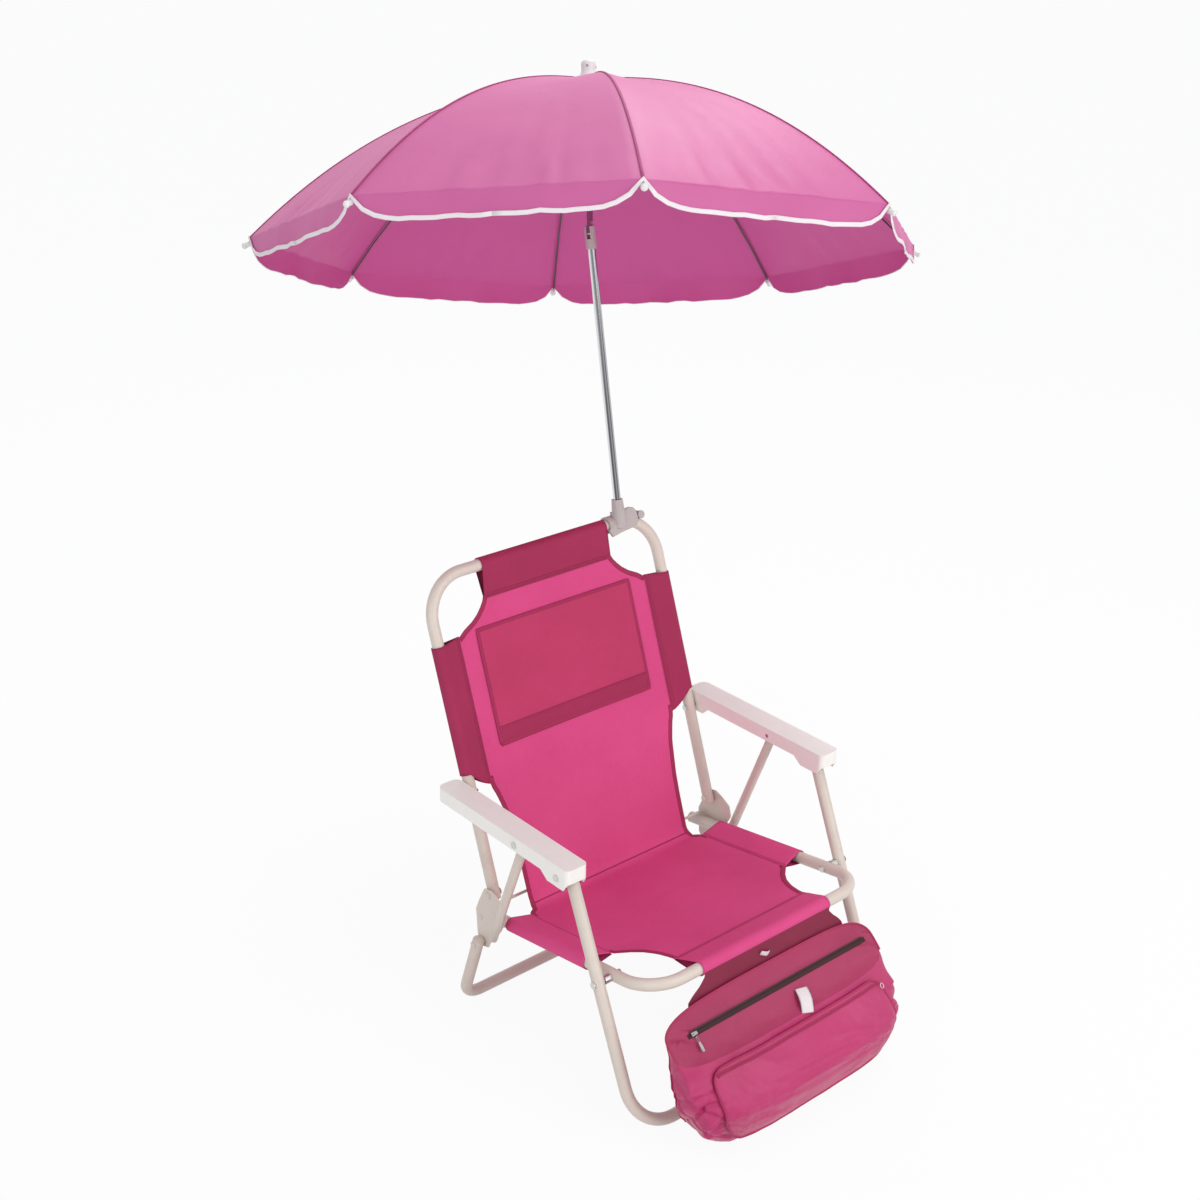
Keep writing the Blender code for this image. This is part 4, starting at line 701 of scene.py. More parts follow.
def sling_rows():
    """Each row: middle, normal, half width, belly, run."""
    rows = []
    for t in steps(SLING_TOP_T, SLING_LOW_T, 52):
        rows.append((back_point(0.0, t), BACK_NORMAL, lerp_table(BACK_HALF, t), back_belly(t), t))
    start, end = back_point(0.0, SLING_LOW_T), seat_point(0.0, SLING_REAR_Y)
    for u in steps(0.0, 1.0, 6)[1:-1]:
        point = start * (1 - u) ** 2 + CREASE * 2 * u * (1 - u) + end * u ** 2
        normal = BACK_NORMAL.lerp(SEAT_NORMAL, u).normalized()
        half = CREASE_HALF + 0.0080 * max(0.0, u - 0.35)
        rows.append((point, normal, half, CREASE_BELLY, SLING_LOW_T - 0.03 * u))
    for y in steps(SLING_REAR_Y, SLING_END_Y, 36):
        belly = SEAT_BELLY * arch((y - SEAT_BELLY_Y) / SEAT_BELLY_SPAN) ** 0.8
        rows.append((seat_point(0.0, y), SEAT_NORMAL, lerp_table(SEAT_HALF, y), belly, y - 0.14))
    return rows


def sling_point(row, share):
    centre, normal, half, belly, run = row
    x = half * share
    slack = 1.0 - abs(share) ** 3
    lift = SLING_LIFT - belly * (1.0 - abs(share) ** 2.2)
    lift += slack * (waver(x, run, SLING_WAVES) + waver(x * 0.25, run * 2.2, SLING_WRINKLES))
    return centre + X_DIR * x + normal * lift


def build_sling_middle():
    table = sling_rows()
    normals = [row[1] for row in table]
    rows = [[sling_point(row, share) for share in steps(-1.0, 1.0, SLING_COLUMNS)] for row in table]
    runs = lengths_along([row[0] for row in table])
    uvs = [[(point.x, run) for point in row] for row, run in zip(rows, runs)]
    cloth = grid_sheet("sling_cloth", rows, uvs, [SLING_CLOTH])
    hems = []
    for label, sign in SIDES:
        edge = [row[0 if sign < 0.0 else -1] - X_DIR * HEM_INSET * sign for row in rows]
        for part, first, last in HEM_ROWS:
            hems.append(cord_along("sling_hem_%s_%s" % (part, label), edge[first:last], normals[first:last],
                                   SLING_HEM, SLEEVE_CLOTH))
    valley = min(range(len(rows)), key=lambda k: (rows[k][SLING_COLUMNS // 2] - CREASE).length)
    fold = [point + normals[valley] * 0.0006 for point in rows[valley][1:-1]]
    hems.append(cord_along("crease_seam", fold, [normals[valley]] * len(fold), CREASE_SEAM, SLEEVE_CLOTH))
    for piece in [cloth] + hems:
        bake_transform(piece)
    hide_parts("back_sling", "seat_sling")
    return cloth, hems


# Sleeves round the tubes. Each end is (place at the seam, change toward the tube, bend)
SLEEVE_R = 0.0117
SLEEVE_SEAM_GAP = 0.0011
SLEEVE_TUCK = 0.0012
SLEEVE_WAVES = (0.00055, 0.0, 42.0)
BACK_SLEEVE_ENDS = ((0.0035, 0.0290, 1.4), (0.2455, -0.0055, 1.0))
SEAT_SLEEVE_ENDS = ((-0.2880, 0.0060, 1.0), (-0.0930, -0.0010, 1.0))
TOP_SLEEVE_ENDS = ((-0.1330, 0.0030, 1.0), (0.1330, -0.0030, 1.0))
FRONT_SLEEVE_ENDS = ((-0.1400, 0.0030, 1.0), (0.1400, -0.0030, 1.0))


def sleeve_section(seam, centre):
    """From the seam round the tube and back, as (across, off)."""
    sign = 1.0 if centre > seam else -1.0
    lean = math.asin(SLEEVE_R / abs(centre - seam))
    touch = centre - sign * SLEEVE_R * math.sin(lean)
    rise = SLEEVE_R * math.cos(lean) - SLEEVE_SEAM_GAP
    upper = [(seam + (touch - seam) * u, SLEEVE_SEAM_GAP + rise * u) for u in steps(0.0, 1.0, 6)[:-1]]
    turns = steps(math.pi / 2.0 + lean, -math.pi / 2.0 - lean, 16)
    arc = [(centre + sign * SLEEVE_R * math.cos(turn), SLEEVE_R * math.sin(turn)) for turn in turns]
    return upper + arc + [(across, -off) for across, off in reversed(upper)]


def build_sleeve(name, place, seam, centre, ends, count, seed, body, mat):
    """place(across, along, off) gives a point. Both ends are tucked in by an extra row."""
    section = sleeve_section(seam, centre)
    arounds = lengths_along([Vector(spot) for spot in section])
    rows = []
    uvs = []
    for j, tucked in [(0, True)] + [(j, False) for j in range(count + 1)] + [(count, True)]:
        row = []
        uv = []
        for (across, off), around in zip(section, arounds):
            share = min(abs(across - seam) / abs(centre - seam), 1.0)
            start, end = [at_seam + change * share ** bend for at_seam, change, bend in ends]
            along = start + (end - start) * j / count
            bump = waver(along * 1.4, around, SLEEVE_WAVES, seed) * arch(share) ** 0.5
            if tucked:
                shrink = 1.0 - SLEEVE_TUCK / max(math.hypot(across - centre, off), SLEEVE_TUCK)
                across, off, bump = centre + (across - centre) * shrink, off * shrink, 0.0
            row.append(place(across, along, off + math.copysign(1.0, off) * bump))
            uv.append((around, along))
        rows.append(row)
        uvs.append(uv)
    sleeve = grid_sheet(name, rows, uvs, [mat])
    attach(sleeve, body)
    return sleeve


def build_sleeves():
    made = []
    for label, sign in SIDES:
        made.append(build_sleeve("back_sleeve_" + label, lambda a, b, off: back_point(sign * a, b, off),
                                 SIDE_SEAM_X, BACK_X, BACK_SLEEVE_ENDS, 40, 2.0 + sign, "back", SLEEVE_CLOTH))
        made.append(build_sleeve("seat_sleeve_" + label, lambda a, b, off: seat_point(sign * a, b, off),
                                 SEAT_SEAM_X, SEAT_X, SEAT_SLEEVE_ENDS, 32, 7.0 + sign, "seat", SLING_CLOTH))
    made.append(build_sleeve("top_sleeve", lambda a, b, off: back_point(b, a, off),
                             TOP_SEAM_T, BACK_TOP_T, TOP_SLEEVE_ENDS, 40, 11.0, "back", SLEEVE_CLOTH))
    made.append(build_sleeve("front_sleeve", lambda a, b, off: seat_point(b, a, off),
                             FRONT_SEAM_Y, SEAT_FRONT_Y, FRONT_SLEEVE_ENDS, 40, 15.0, "seat", SLING_CLOTH))
    return made


# Stitches: one row along each side of the seat, two rows along every other seam
STITCH_GAP = 0.0032
STITCH_HALF = STITCH_GAP * 0.34
STITCH_CORNERS = [(along, side, up) for along in (-STITCH_HALF, STITCH_HALF)
                  for side, up in ((-0.00045, 0.0), (0.0, 0.00042), (0.00045, 0.0))]
STITCH_FACES = [(0, 1, 4, 3), (1, 2, 5, 4), (0, 2, 1), (3, 4, 5)]
SEAM_STEPS = 30


def stitch_row(name, path, normal, body):
    """Short thread stitches laid along a seam."""
    verts = []
    faces = []
    passed = 0.0
    due = 0.0
    for a, b in zip(path, path[1:]):
        length = (b - a).length
        tangent = (b - a) / length
        across = normal.cross(tangent).normalized()
        while due <= passed + length:
            here = a + tangent * (due - passed)
            faces += [tuple(len(verts) + corner for corner in face) for face in STITCH_FACES]
            verts += [here + tangent * along + across * side + normal * up
                      for along, side, up in STITCH_CORNERS]
            due += STITCH_GAP
        passed += length
    obj = make_mesh(name, verts, faces, [THREAD])
    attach(obj, body)
    return obj


def build_stitches():
    made = []
    for label, sign in SIDES:
        for index, inset in enumerate((0.0, 0.0040)):
            x = sign * (SIDE_SEAM_X + 0.003 + inset)
            path = [back_point(x, t, 0.0022 + inset * 0.25) for t in steps(0.008, 0.244, SEAM_STEPS)]
            made.append(stitch_row("back_seam_%s_%d" % (label, index), path, BACK_NORMAL, "back"))
        x = sign * (SEAT_SEAM_X + 0.003)
        path = [seat_point(x, y, 0.0022) for y in steps(-0.286, -0.096, SEAM_STEPS)]
        made.append(stitch_row("seat_seam_" + label, path, SEAT_NORMAL, "seat"))
    for index, inset in enumerate((0.0030, 0.0070)):
        off = 0.0014 + inset * 0.25
        path = [back_point(x, TOP_SEAM_T + inset, off) for x in steps(-0.131, 0.131, SEAM_STEPS)]
        made.append(stitch_row("top_seam_%d" % index, path, BACK_NORMAL, "back"))
        path = [seat_point(x, FRONT_SEAM_Y - inset, off) for x in steps(-0.138, 0.138, SEAM_STEPS)]
        made.append(stitch_row("front_seam_%d" % index, path, SEAT_NORMAL, "seat"))
    return made


# Headrest panel sewn on the back
PANEL_HALF = 0.1590
PANEL_LOW_T = 0.0570
PANEL_TOP_T = 0.2450
PANEL_BAND = 0.0260
PANEL_COLUMNS = 40
PANEL_ROWS = 32
BAND_ROWS = 5
PANEL_LIFT = 0.0018
PANEL_CUSHION = 0.0030
PANEL_EDGE_WAVES = (0.0012, 4.0, 2.0)
PANEL_WAVES = (0.0010, 6.0, 16.0)
PANEL_WRINKLES = (0.0006, 9.0, 60.0)
PANEL_HEM = (0.0070, 0.0020)
BAND_SEAM = (0.0028, 0.0014)


def panel_point(u, t):
    v = 2.0 * (t - PANEL_LOW_T) / (PANEL_TOP_T - PANEL_LOW_T) - 1.0
    x = PANEL_HALF * u + waver(u, t * 3.0, PANEL_EDGE_WAVES) * (1.0 - u * u)
    sag = back_belly(t) * (1.0 - abs(x / 0.197) ** 2.2)
    inner = (1.0 - abs(u) ** 7) * (1.0 - abs(v) ** 7)
    waves = waver(x, t, PANEL_WAVES) + waver(x * 0.4, t * 2.0, PANEL_WRINKLES)
    return back_point(x, t, PANEL_LIFT + inner * (PANEL_CUSHION + waves) - sag)


def build_headrest():
    across = steps(-1.0, 1.0, PANEL_COLUMNS)
    heights = steps(PANEL_LOW_T, PANEL_TOP_T, PANEL_ROWS)
    rows = [[panel_point(u, t) for u in across] for t in heights]
    uvs = [[(point.x, t) for point in row] for row, t in zip(rows, heights)]
    panel = grid_sheet("headrest_cloth", rows, uvs, [PANEL_CLOTH, SLEEVE_CLOTH], lambda j: int(j < BAND_ROWS))
    edge = border(rows)
    hem = cord_along("headrest_hem", edge, [BACK_NORMAL] * len(edge), PANEL_HEM, SLEEVE_CLOTH)
    line = [panel_point(u, PANEL_LOW_T + PANEL_BAND) + BACK_NORMAL * 0.0004 for u in across]
    seam = cord_along("headrest_band_seam", line, [BACK_NORMAL] * len(line), BAND_SEAM, SLEEVE_CLOTH)
    for piece in (panel, hem, seam):
        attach(piece, "back")
    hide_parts("headrest_panel")
    return panel, [hem, seam]


def build_sling():
    cloth, hems = build_sling_middle()
    sleeves = build_sleeves()
    stitches = build_stitches()
    panel, trims = build_headrest()


# Canopy: eight pieces, one on each rib, that share one continuous curved surface
GORE = 2.0 * math.pi / RIB_COUNT
VALANCE_DROP = 0.0395
VALANCE_DROP_AT_RIB = 0.0030
CANOPY_RINGS = 44
VALANCE_ROWS = 9
GORE_STEPS = 24
SEAM_RINGS = 40
CANOPY_HOLLOW = 0.0060
FAN_HEIGHT = 0.0009
PULL_HEIGHT = 0.00064
VALANCE_CURL = 0.0045
FLUTTER = 0.0022
DOME_WAVES = (0.0011, 2.0, 7.0)
BRIM_WAVES = (0.0030, 12.0, 9.0)
VALANCE_WAVES = (0.0016, 30.0, 14.0)
BINDING_SIZE = (0.0066, 0.0020)
BINDING_OUT = 0.0016
BINDING_UP = 0.0026
SEAM_SIZE = (0.0042, 0.0018)


def canopy_radial(angle):
    return CANOPY_X * math.cos(angle) + CANOPY_Y * math.sin(angle)


def canopy_height(radius):
    share = radius / CANOPY_R
    fall = CANOPY_CONE * share + (1.0 - CANOPY_CONE) * share ** CANOPY_CURVE
    return CANOPY_APEX_H - (CANOPY_APEX_H - CANOPY_RIM_H) * fall


def rib_angle(index):
    return CANOPY_TURN + GORE * index


def canopy_surface(ring, angle):
    """ring runs 0..1 on the dome and 1..2 down the valance."""
    inner = min(ring, 1.0)
    down = max(ring - 1.0, 0.0)
    radius = CANOPY_HOLE_R + (CANOPY_R - CANOPY_HOLE_R) * inner
    across = 2.0 * ((angle - CANOPY_TURN) % GORE) / GORE - 1.0
    seed = math.floor((angle - CANOPY_TURN) / GORE) % RIB_COUNT
    chord = radius * math.cos(GORE / 2.0) / math.cos(GORE * across / 2.0)
    middle = 1.0 - across ** 2
    x, y = math.cos(angle), math.sin(angle)
    height = canopy_height(radius) - CANOPY_HOLLOW * middle ** 1.2 * arch(inner) ** 0.7
    height += waver(x * inner, y * inner, DOME_WAVES, seed) * middle
    height += waver(x * 2.6, y * 2.6, BRIM_WAVES, seed) * middle * bell(inner - 0.96, 0.05)
    fan = math.sin(across * 21.0 + 5.0 * seed) * middle ** 0.5 * (1.0 - abs(across)) ** 0.3
    height += FAN_HEIGHT * fan * inner ** 3 - PULL_HEIGHT * bell(1.0 - abs(across), 0.16) * inner
    if down > 0.0:
        full_drop = VALANCE_DROP - (VALANCE_DROP - VALANCE_DROP_AT_RIB) * abs(across) ** 9
        height -= full_drop * down
        chord += VALANCE_CURL * math.sin(down * math.pi / 2.0) * (1.0 - across ** 4)
        flutter = FLUTTER * math.sin(across * 7.0 + 1.7 * seed) + waver(x, y, VALANCE_WAVES, seed)
        chord += flutter * down * middle
    return TILT_POINT + canopy_radial(angle) * chord + CANOPY_DIR * height


def canopy_normal(ring, angle):
    small = 0.004
    low, high = max(ring - small, 0.0), min(ring + small, 2.0)
    along = canopy_surface(high, angle) - canopy_surface(low, angle)
    side = canopy_surface(ring, angle + small) - canopy_surface(ring, angle - small)
    return along.cross(side).normalized()


def canopy_piece(number, centre):
    """One piece of cloth from the crown to the valance's edge; gives its lowest row too."""
    rings = steps(0.0, 1.0, CANOPY_RINGS) + steps(1.0, 2.0, VALANCE_ROWS)[1:]
    angles = steps(centre - GORE / 2.0, centre + GORE / 2.0, GORE_STEPS)
    rows = [[canopy_surface(ring, angle) for angle in angles] for ring in rings]
    uvs = []
    for ring in rings:
        inner = min(ring, 1.0)
        uvs.append([(0.46 * inner + 0.04 * ring, (angle - centre) * 0.42 * inner) for angle in angles])
    cloth = grid_sheet("canopy_cloth_%d" % number, rows, uvs, [CANOPY_CLOTH])
    if sum(face.normal.dot(CANOPY_DIR) for face in cloth.data.polygons) < 0.0:
        cloth.data.flip_normals()
    normals = [tuple(canopy_normal(ring, angle)) for ring in rings for angle in angles]
    cloth.data.normals_split_custom_set_from_vertices(normals)
    return cloth, rows[-1]


def build_canopy():
    for index in range(RIB_COUNT):
        centre = rib_angle(index)
        number = index + 1
        cloth, edge = canopy_piece(number, centre)
        outward = [(point - TILT_POINT).normalized() for point in edge]
        flat = [(way - CANOPY_DIR * way.dot(CANOPY_DIR)).normalized() for way in outward]
        hem_path = [point + way * BINDING_OUT + CANOPY_DIR * BINDING_UP for point, way in zip(edge, flat)]
        hem = cord_along("canopy_binding_%d" % number, hem_path, flat, BINDING_SIZE, BINDING)
        rings = steps(0.0, 1.0, SEAM_RINGS)
        ups = [canopy_normal(ring, centre) for ring in rings]
        seam_path = [canopy_surface(ring, centre) + up * 0.0004 for ring, up in zip(rings, ups)]
        seam = cord_along("canopy_seam_%d" % number, seam_path, ups, SEAM_SIZE, CANOPY_SEAM)
        anchor = canopy_surface(0.5, centre)
        for piece in (cloth, hem, seam):
            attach(piece, "rib_%d" % number)
            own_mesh(piece)
    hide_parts("canopy")


# Bag hung from the front bar. Half widths and depths are at its base, middle and mouth
BAG_X = -0.0120
BAG_HALF = (0.1800, 0.2200, 0.2080)
BAG_DEPTH = (0.1020, 0.1120, 0.0630)
BAG_BACK_Y = -0.4480
BAG_LOW_Z = 0.0080
BAG_TOP_Z = 0.2080
BAG_SLOPE = 0.9000
REAR_LIFT = 0.0080
BAG_LEFT_PULL = 0.0220
BAG_BASE_SHARE = 0.12
BAG_BASE_TUCK = 0.014
BAG_AROUND = 240
BAG_UP = 48
BASE_RINGS = 7
BAG_SLACK = 0.0015
END_FOLD = 0.0190
END_FOLD_LOSS = 0.0070
CORNER_FOLD = 0.0075
BAG_SLANT_WAVES = (0.0200, 5.0, 10.0)
BAG_WAVES = (0.0044, 12.0, 13.0)
BAG_WRINKLES = (0.0014, 19.0, 36.0)
BAG_CREASE_WAVES = (0.0050, 31.0, 20.0)
BAG_CORNER_WAVES = (0.0100, 9.0, 18.0)
BAG_LIFT_WAVES = (0.0030, 22.0, 12.0)
CREASE_WIDTH = 0.0050
PIPING_WIDTH = 0.0034
END_SEAM_WIDTH = 0.0028
END_SEAM_TURN = 0.30
# Each crease across the bag's ends: height at its middle, lean, depth
BAG_CREASES = [(0.040, 0.90, 0.0060), (0.078, 0.80, 0.0070), (0.118, 0.60, 0.0055),
               (0.026, -0.90, 0.0050), (0.060, -1.10, 0.0060), (0.100, -0.70, 0.0045)]
MOUTH_NORMAL = Vector((0.0, -BAG_SLOPE, 1.0)).normalized()
MOUTH_DOWN = Vector((0.0, -1.0, -BAG_SLOPE)).normalized()


def along_bag(values, share):
    """A soft curve through the values at the base, the middle and the mouth."""
    low, mid, high = values
    if share < 0.5:
        return low + (mid - low) * math.sin(share * math.pi)
    return mid + (high - mid) * (1.0 - math.cos((share - 0.5) * math.pi))


def pleat(value):
    """A row of soft folds with narrow crests, 0..1."""
    return (1.0 - abs(2.0 * (value - math.floor(value)) - 1.0)) ** 1.5


def power(value, bend):
    """The value's size to a power, with its sign kept."""
    return math.copysign(abs(value) ** bend, value)


def bag_folds(point, share, cos):
    """How far the wall stands out at a point: broad waves, folds and creases at the ends and corners."""
    x, y, z = point
    at_end = abs(cos)
    slant = z * 0.75 + y * 1.1 + waver(y * 1.3, z, BAG_SLANT_WAVES)
    folds = waver(x, z * 1.6, BAG_WAVES) + waver(x * 1.4, z * 0.6, BAG_WRINKLES)
    end_fold = (END_FOLD - END_FOLD_LOSS * share) * smooth(0.70, 0.97, at_end)
    folds += end_fold * (pleat(slant / 0.0560 + 0.2) - 0.6) * (1.0 - 0.4 * smooth(0.93, 1.0, at_end))
    for height, lean, depth in BAG_CREASES:
        away = z - height - lean * (y - BAG_BACK_Y + 0.050) + waver(y, z, BAG_CREASE_WAVES)
        folds -= depth * smooth(0.55, 0.80, at_end) * bell(away, CREASE_WIDTH)
    corner = smooth(0.66, 0.84, at_end) * (1.0 - smooth(0.95, 0.995, at_end))
    run = z * 1.2 + abs(x) * 0.9 + waver(x, z, BAG_CORNER_WAVES)
    return folds + CORNER_FOLD * corner * (pleat(run / 0.0520) - 0.4)


def bag_point(share, angle, grow, crumple=1.0):
    """share runs 0..1 from the base to the mouth, angle round the bag."""
    cos, sin = math.cos(angle), math.sin(angle)
    half = along_bag(BAG_HALF, share) + grow
    depth = along_bag(BAG_DEPTH, share)
    x = BAG_X + half * power(cos, 0.5)
    y = BAG_BACK_Y - depth / 2.0 + (depth / 2.0 + grow) * power(sin, 0.5)
    forward = BAG_BACK_Y - y
    x -= BAG_LEFT_PULL * share ** 2 * smooth(0.2, 1.0, -cos)
    z = BAG_LOW_Z + share * (BAG_TOP_Z - BAG_LOW_Z) - BAG_SLOPE * share ** 2 * forward
    z += REAR_LIFT * share ** 3 * bell(forward, 0.014) * (1.0 - abs(cos) ** 6)
    point = Vector((x, y, z))
    out = Vector((power(cos, 1.5) * 0.4, power(sin, 1.5), 0.0)).normalized()
    free = arch(share) ** 0.55 * crumple
    front = (1.0 - 0.85 * smooth(-0.30, 0.45, sin)) * (1.0 if cos < 0.0 else 0.6)
    point += out * ((bag_folds(point, share, cos) * front - BAG_SLACK) * free)
    point.z += waver(x, y, BAG_LIFT_WAVES) * share * free
    return point


def bag_angle(share):
    """Angles bunched at the bag's ends, where the folds are."""
    turn = 2.0 * math.pi * share
    return turn - 0.22 * math.sin(2.0 * turn)


def build_bag_shell():
    angles = [bag_angle(share) for share in steps(0.0, 1.0, BAG_AROUND)]
    walls = []
    for share in [0.0, 0.012, 0.03, 0.055, 0.085] + steps(BAG_BASE_SHARE, 1.0, BAG_UP):
        grow = -BAG_BASE_TUCK * max(1.0 - share / BAG_BASE_SHARE, 0.0) ** 2
        walls.append([bag_point(share, angle, grow) for angle in angles])
    middle = Vector((BAG_X, BAG_BACK_Y - 0.045, BAG_LOW_Z - 0.001))
    shares = steps(0.04, 1.0, BASE_RINGS)[:-1]
    base = [[middle.lerp(point, share) for point in walls[0]] for share in shares]
    rows = base + walls
    uvs = [[(0.17 * angle, run) for angle in angles] for run in lengths_along([row[0] for row in rows])]
    return grid_sheet("bag_shell", rows, uvs, [BAG_CLOTH])


def mouth_point(x, forward, lift):
    return Vector((x, BAG_BACK_Y - forward, BAG_TOP_Z - BAG_SLOPE * forward)) + MOUTH_NORMAL * lift


# The bag's top: a panel on each side of the zip
ZIP_NEAR = 0.0200
ZIP_FAR = 0.0300
ZIP_MIDDLE = (ZIP_NEAR + ZIP_FAR) / 2.0
ZIP_REACH = 0.1920
TOP_COLUMNS = 120
TOP_ROWS = 16
TOP_SAG = 0.0060
TOP_WAVES = (0.0030, 0.0, 26.0)
TOP_FOLD = 0.0050


def top_panel(name, last_turn, zip_edge, seed):
    """Cloth between the rim, from half a turn to last_turn, and one side of the zip."""
    rows = []
    uvs = []
    for v in steps(0.0, 1.0, TOP_ROWS):
        row = []
        for u in steps(0.0, 1.0, TOP_COLUMNS):
            spread = (u - 0.5) * 2.0
            rim = bag_point(1.0, math.pi + (last_turn - math.pi) * u, 0.0)
            edge = zip_edge + (ZIP_MIDDLE - zip_edge) * smooth(0.86, 1.0, abs(spread))
            point = mouth_point(BAG_X + ZIP_REACH * power(spread, 0.75), edge, -0.0012).lerp(rim, v)
            dip = TOP_SAG * (1.0 - abs(spread) ** 4)
            dip += waver(point.x, point.y, TOP_WAVES, seed)
            fold = pleat((point.y * 1.2 + point.x * 0.5) / 0.0240)
            dip -= TOP_FOLD * smooth(0.60, 0.95, abs(spread)) * fold
            row.append(point - Z_DIR * (dip * arch(v)))
        rows.append(row)
        uvs.append([(point.x, 0.05 * v) for point in row])
    # The top panels take the darker cloth: painted shade from the seat above
    panel = grid_sheet(name, rows, uvs, [BAG_TOP_SHADED_CLOTH])
    if sum(face.normal.z for face in panel.data.polygons) < 0.0:
        panel.data.flip_normals()
    return panel


# Panel behind the bag's rear rim. Its outline is (distance down, half width)
FLAP_OUTLINE = [(0.0000, 0.1340), (0.0060, 0.1360), (0.0140, 0.1450), (0.0220, 0.1570),
                (0.0300, 0.1660), (0.0450, 0.1700)]
FLAP_DROP = 0.0420
FLAP_TOP = Vector((0.0, -0.4322, 0.2440))
FLAP_LOW = Vector((0.0, BAG_BACK_Y + 0.0012, BAG_TOP_Z - 0.0040))
FLAP_WAVES = (0.0016, 51.0, 15.0)


def flap_point(u, down):
    """From under the front sleeve down behind the bag's rear rim."""
    x = BAG_X * min(down / 0.03, 1.0) + lerp_table(FLAP_OUTLINE, down) * u
    base = FLAP_TOP.lerp(FLAP_LOW, down / FLAP_DROP)
    wave = waver(x, down * 1.5, FLAP_WAVES) * min(down / 0.015, 1.0)
    return Vector((x, base.y - 0.0010 + wave, base.z))


def build_bag_back():
    drops = steps(0.0, FLAP_DROP, 14)
    rows = [[flap_point(u, down) for u in steps(-1.0, 1.0, 60)] for down in drops]
    uvs = [[(point.x, down) for point in row] for row, down in zip(rows, drops)]
    return grid_sheet("bag_back_panel", rows, uvs, [FLAP_SHADED_CLOTH])


def shell_cord(name, places, width):
    """Piping over the shell through places given as (share, angle)."""
    middle = Vector((BAG_X, BAG_BACK_Y - 0.05, 0.11))
    path = [bag_point(share, angle, 0.0008) for share, angle in places]
    outs = [(point - middle).normalized() for point in path]
    return cord_along(name, path, outs, (width, width), PIPING, 8)


def build_piping():
    rim = [(1.0, bag_angle(i / 200)) for i in range(-8, 109)]
    made = [shell_cord("bag_rim_piping", rim, PIPING_WIDTH)]
    for label, middle, sign in (("left", math.pi, -1.0), ("right", 0.0, 1.0)):
        seam = [(share, middle + sign * END_SEAM_TURN) for share in steps(1.0, 0.10, 40)]
        made.append(shell_cord("bag_%s_seam" % label, seam, END_SEAM_WIDTH))
    return made


# Pocket on the bag's front
POCKET_LOW = 0.1000
POCKET_HIGH = 0.9650
POCKET_SPREAD = math.radians(44.0)
POCKET_COLUMNS = 120
POCKET_ROWS = 48
POCKET_OFF = 0.0026
POCKET_CLOTH_OFF = 0.0022
POCKET_CROWN = 0.0085
POCKET_FOLD = 0.0030
POCKET_WAVES = (0.0028, 61.0, 2.4)
POCKET_ZIP_V = 0.93
POCKET_ZIP = (0.0056, 0.0016)
POCKET_TEETH = (0.0018, 0.0014)
RING_PLACE = (0.94, 0.90, 0.0075)
RING_HALF_WIDTH = 0.0032
RING_HALF_HEIGHT = 0.0040
RING_WIRE = (0.0012, 0.0012)
POCKET_ZIP_UP = Vector((0.0, -0.8, 0.6)).normalized()


def pocket_point(u, v, out):
    """u, v run from -1 to 1 over the pocket, whose corners are rounded."""
    round_u = u * (1.0 - 0.055 * abs(v) ** 7 * abs(u) ** 3)
    round_v = v * (1.0 - 0.13 * abs(u) ** 9 * abs(v) ** 3)
    share = POCKET_LOW + (POCKET_HIGH - POCKET_LOW) * (round_v + 1.0) / 2.0
    angle = round_u * POCKET_SPREAD - math.pi / 2.0
    away = Vector((math.cos(angle) * 0.3, -1.0, 0.35)).normalized()
    crown = (1.0 - abs(u) ** 6) * (1.0 - abs(v) ** 5)
    slack = waver(u * 1.9 + v * 0.9, v * 0.9 - u * 0.3, POCKET_WAVES)
    slack += POCKET_FOLD * (pleat(u * 1.1 + v * 0.55 + 0.3) - 0.5) * smooth(0.2, 0.9, abs(v + 0.2 * u))
    return bag_point(share, angle, 0.0, 0.5) + away * (POCKET_OFF + out + crown * (POCKET_CROWN + slack))


def build_pocket_ring():
    middle = pocket_point(*RING_PLACE)
    side = POCKET_ZIP_UP.cross(X_DIR)
    path = []
    for turn in steps(0.0, 2.0 * math.pi, 24):
        across, rise = RING_HALF_WIDTH * math.cos(turn), RING_HALF_HEIGHT * math.sin(turn)
        path.append(middle + X_DIR * across + side * rise)
    ring = cord_along("pocket_ring", path, [POCKET_ZIP_UP] * len(path), RING_WIRE, RIVET_STEEL, 8)
    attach(ring, "seat")


def build_pocket():
    across = steps(-1.0, 1.0, POCKET_COLUMNS)
    heights = steps(-1.0, 1.0, POCKET_ROWS)
    rows = [[pocket_point(u, v, POCKET_CLOTH_OFF) for u in across] for v in heights]
    uvs = [[(0.20 * u, 0.045 * v) for u in across] for v in heights]
    cloth = grid_sheet("pocket_cloth", rows, uvs, [BAG_CLOTH])
    rim = border(rows)
    outs = [Vector((0.0, -1.0, 0.0))] * len(rim)
    piping = cord_along("pocket_piping", rim, outs, (PIPING_WIDTH, PIPING_WIDTH), PIPING, 8)
    line = [pocket_point(u, POCKET_ZIP_V, 0.0030) for u in steps(-1.0, 1.0, 50)[2:-2]]
    ups = [POCKET_ZIP_UP] * len(line)
    zip_line = cord_along("pocket_zip", line, ups, POCKET_ZIP, PIPING, 8)
    raised = [point + POCKET_ZIP_UP * 0.0006 for point in line]
    teeth = cord_along("pocket_zip_teeth", raised, ups, POCKET_TEETH, BAG_INSIDE, 6)
    build_pocket_ring()
    return cloth, [piping, zip_line, teeth]


